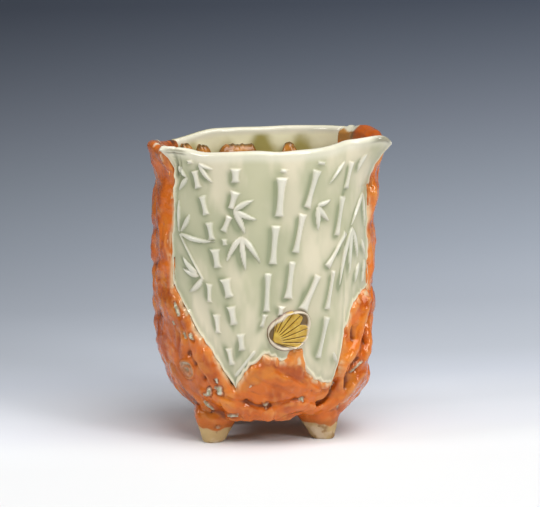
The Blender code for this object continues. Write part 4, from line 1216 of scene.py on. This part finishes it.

# %% Orange glaze
# Dark red-brown for the hollows, partly painted shade, and for the dark marks round nubs and low on the
# left.
DEEP_RED_BROWN = (0.22, 0.042, 0.005)
ORANGE = (0.69, 0.155, 0.013)
DEEP_ORANGE = (0.44, 0.075, 0.006)
PEACH = (0.74, 0.28, 0.07)
AMBER = (0.7, 0.25, 0.03)
OCHRE = (0.36, 0.19, 0.045)
KNOB_ORANGE = (0.4, 0.075, 0.005)
CHARRED = (0.055, 0.018, 0.006)
SPOT_GREY = (0.33, 0.31, 0.2)
# Cream of torn clay, also used for painted glints.
FRAY_AND_GLINT_CREAM = (0.76, 0.54, 0.32)
BARE_CLAY = (0.54, 0.38, 0.175)
PALE_CLAY = (0.66, 0.52, 0.35)
BROWN_SPECK = (0.34, 0.2, 0.08)
TIDE_BROWN = (0.36, 0.1, 0.008)
PALE_SPOT = (0.62, 0.6, 0.46)
WARM_SHINE = (1, 0.84, 0.7, 1)

orange = Glaze("orange_glaze", 0.1, ORANGE)
orange.feed(orange.inputs["Specular IOR Level"], 0.55)
orange.feed(orange.inputs["Specular Tint"], WARM_SHINE)
speckle = orange.sums("SUBTRACT", orange.mottle(240, 4), 0.5)
height = orange.sums("ADD", orange.reading("ridge"), orange.times(speckle, 0.5))
hollow_and_shade = orange.sums("ADD", orange.reading("deep"), orange.times(speckle, 0.6))
orange.lay(orange.patches(0.42, 0.68, 120, 3), DEEP_ORANGE)
orange.lay(orange.times(orange.patches(0.48, 0.66, 140, 3), 0.55), AMBER)
# Peach on the ridges: thin glaze over the crowns, and partly a painted highlight.
orange.lay(orange.times(orange.between(height, 0.06, 0.34), 0.55), PEACH)
# Dark red-brown in the hollows: pooled glaze, and partly painted shade.
orange.lay(orange.between(hollow_and_shade, -0.16, -0.7), DEEP_RED_BROWN)
orange.brush("knob", 0.85, KNOB_ORANGE)
orange.brush("ochre", 0.85, OCHRE)
orange.brush("crust", orange.patches(0.44, 0.54, 260, 3, (1, 1, 0.6)), CHARRED)
orange.lay(orange.reading("cap"), PALE_SPOT)
orange.brush("fray", 0.5, PEACH)
orange.brush("fray", orange.patches(0.42, 0.56, 330, 3, (1, 1, 0.35)), FRAY_AND_GLINT_CREAM)
# Painted glints: thin pale streaks by the border on the left spine.
orange.brush("glint_streak", orange.patches(0.58, 0.66, 420, 2, (1, 1, 0.3)), FRAY_AND_GLINT_CREAM)
orange.brush("dark", 0.55, DEEP_RED_BROWN)
spot = orange.mixed(orange.patches(0.45, 0.6, 800, 2), SPOT_GREY, PALE_SPOT)
orange.lay(orange.reading("spot"), spot)
orange.brush("tide", 0.6, TIDE_BROWN)
clay = orange.mixed(orange.patches(0.46, 0.62, 150, 3), BARE_CLAY, PALE_CLAY)
clay = orange.mixed(orange.patches(0.54, 0.66, 260, 5), clay, BROWN_SPECK)
orange.lay(orange.reading("bare"), clay)
dry = orange.times(orange.between(orange.reading("bare"), 0.3, 0.7), 0.55)
orange.feed(orange.inputs["Roughness"], orange.sums("ADD", dry, 0.085))
orange.finish(330, 3, 0.5, 0.001)
bark.data.materials.append(orange.material)

# %% Glaze inside the cup
DARK_AMBER, LIGHT_AMBER, BURNT_LIP = (0.27, 0.095, 0.01), (0.5, 0.2, 0.028), (0.07, 0.045, 0.012)
amber = Glaze("amber_inside_glaze", 0.2, DARK_AMBER)
amber.lay(amber.patches(0.4, 0.65, 120, 4), LIGHT_AMBER)
amber.brush("lip", amber.patches(0.4, 0.5, 260, 4), BURNT_LIP)
amber.finish(300, 3, 0.25, 0.0006)
for piece in (liner, floor_dish):
    piece.data.materials.append(amber.material)

# %% Gold glaze
GOLD, BRIGHT_GOLD, VEIN_BROWN = (0.5, 0.3, 0.035), (0.62, 0.42, 0.07), (0.16, 0.095, 0.03)
# The outer brown is painted shade round the button's edge, where it meets the slab.
RIM_CREAM, EDGE_SHADE_BROWN = (0.66, 0.57, 0.44), (0.24, 0.15, 0.15)
gold = Glaze("gold_glaze", 0.2, VEIN_BROWN)
shine = gold.mixed(gold.patches(0.35, 0.7, 400, 3), GOLD, BRIGHT_GOLD)
gold.lay(gold.between(gold.reading("leaf"), 0.15, 0.65), shine)
gold.lay(gold.reading("rim"), RIM_CREAM)
# Painted shade round the button's outer edge.
gold.brush("outer", 0.8, EDGE_SHADE_BROWN)
gold.finish(600, 2, 0.15, 0.0004)
button.data.materials.append(gold.material)

for piece in (front_slab, back_slab, bark, liner, floor_dish, button):
    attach(piece, "root")

# %% [markdown]
# ## Floor, light and camera
# The cup stands on a pale sheet whose colour is painted light falloff: pale near the cup, grey with
# distance and brighter to the right, as the light in a small photo studio falls. So the light on the cup
# stays plain. A soft lamp above and to the right does most of the work, and the camera looks slightly down
# from a metre away.

# %% Floor of the studio
FLOOR_HALF = 4
RAMP_START, RAMP_LENGTH = -0.1, 1.8
SIDE_TILT, TILT_START, TILT_FULL, TILT_LOW, TILT_HIGH = 1.5, 0.02, 0.3, 0.6, 1.8
# A stop of the ramp of painted light falloff: share of its length, then red, green and blue.
STOPS = [
    (0, 0.79, 0.795, 0.8), (0.03, 0.805, 0.82, 0.83), (0.046, 0.83, 0.855, 0.875),
    (0.058, 0.8, 0.825, 0.875), (0.071, 0.765, 0.795, 0.85), (0.085, 0.69, 0.72, 0.78),
    (0.103, 0.58, 0.615, 0.685), (0.124, 0.5, 0.535, 0.595), (0.18, 0.405, 0.44, 0.5),
    (0.26, 0.36, 0.4, 0.465), (0.37, 0.32, 0.36, 0.425), (0.51, 0.275, 0.31, 0.38),
    (0.7, 0.215, 0.25, 0.32), (0.94, 0.145, 0.175, 0.24),
]

form = bmesh.new()
bmesh.ops.create_grid(form, x_segments=1, y_segments=1, size=FLOOR_HALF)
sheet_mesh = bpy.data.meshes.new("table_sheet")
form.to_mesh(sheet_mesh)
form.free()
table_sheet = put_in_scene("table_sheet", sheet_mesh)
paper = Glaze("studio_paper", 0.9)
parts = paper.add("SeparateXYZ", {"Vector": paper.add("TexCoord", {}).outputs["Object"]})
across, behind = parts.outputs["X"], parts.outputs["Y"]
away = paper.sums("DIVIDE", paper.sums("SUBTRACT", behind, RAMP_START), RAMP_LENGTH)
ramp = paper.add("ValToRGB", {"Fac": away})
while len(ramp.color_ramp.elements) < len(STOPS):
    ramp.color_ramp.elements.new(0.5)
for element, (at, r, g, b) in zip(ramp.color_ramp.elements, STOPS):
    element.position = at
    element.color = (r, g, b, 1)
# Painted light falloff to the sides: behind the cup the sheet is brighter to the right and darker to the
# left.
tilt = paper.times(paper.times(across, SIDE_TILT), paper.between(behind, TILT_START, TILT_FULL))
for kind, number in (("ADD", 1), ("MAXIMUM", TILT_LOW), ("MINIMUM", TILT_HIGH)):
    tilt = paper.sums(kind, tilt, number)
tilted = paper.add("VectorMath", {0: ramp.outputs["Color"]})
tilted.operation = "SCALE"
paper.feed(tilted.inputs["Scale"], tilt)
paper.feed(paper.inputs["Base Color"], tilted.outputs["Vector"])
paper.feed(paper.inputs["Specular IOR Level"], 0.1)
sheet_mesh.materials.append(paper.material)
print("the sheet is", 2 * FLOOR_HALF, "m wide, with", len(STOPS), "stops of colour")

# %% Light
LAMP_TARGET = Vector((0, 0, 0.05))
# A lamp: its place, width and height in metres, and its watts.
LAMPS = {
    "top_lamp": ((0.15, -0.38, 0.91), 0.9, 0.7, 9.6),
    "right_lamp": ((0.6, -0.85, 0.65), 0.26, 0.26, 3.3),
    "left_fill": ((-0.95, -0.2, 0.55), 0.3, 0.3, 3.2),
}
SKY_COLOUR, SKY_STRENGTH = (1, 0.99, 0.975, 1), 0.185

for name, (place, width, height, watts) in LAMPS.items():
    lamp = bpy.data.lights.new(name, "AREA")
    lamp.shape = "RECTANGLE"
    lamp.size, lamp.size_y = width, height
    lamp.energy = watts
    holder = put_in_scene(name, lamp)
    holder.location = place
    holder.rotation_mode = "QUATERNION"
    holder.rotation_quaternion = (LAMP_TARGET - Vector(place)).to_track_quat("-Z", "Y")
    print(name, "gives", watts, "W")
world = bpy.data.worlds.new("studio")
bpy.context.scene.world = world
world.use_nodes = True
sky = world.node_tree.nodes["Background"].inputs
sky["Color"].default_value = SKY_COLOUR
sky["Strength"].default_value = SKY_STRENGTH

# %% Camera
AZIMUTH, ELEVATION, DISTANCE = -10, 10.4, 1
FOCAL_PX, IMAGE_WIDTH, IMAGE_HEIGHT = 3000, 540, 507
TARGET, TARGET_PX = Vector((0, 0, 0.05)), (263.5, 284.8)
SENSOR = 36

a, e = math.radians(AZIMUTH), math.radians(ELEVATION)
back = Vector((math.sin(a) * math.cos(e), -math.cos(a) * math.cos(e), math.sin(e)))
lens = bpy.data.cameras.new("camera")
lens.sensor_width = SENSOR
lens.lens = SENSOR * FOCAL_PX / IMAGE_WIDTH
lens.clip_start, lens.clip_end = 0.05, 50
lens.shift_x = (IMAGE_WIDTH / 2 - TARGET_PX[0]) / IMAGE_WIDTH
lens.shift_y = (TARGET_PX[1] - IMAGE_HEIGHT / 2) / IMAGE_WIDTH
camera = put_in_scene("camera", lens)
camera.location = TARGET + back * DISTANCE
camera.rotation_mode = "QUATERNION"
camera.rotation_quaternion = (-back).to_track_quat("-Z", "Y")
bpy.context.scene.camera = camera
bpy.context.scene.view_settings.view_transform = "Standard"
print("lens, mm:", round(lens.lens, 1))
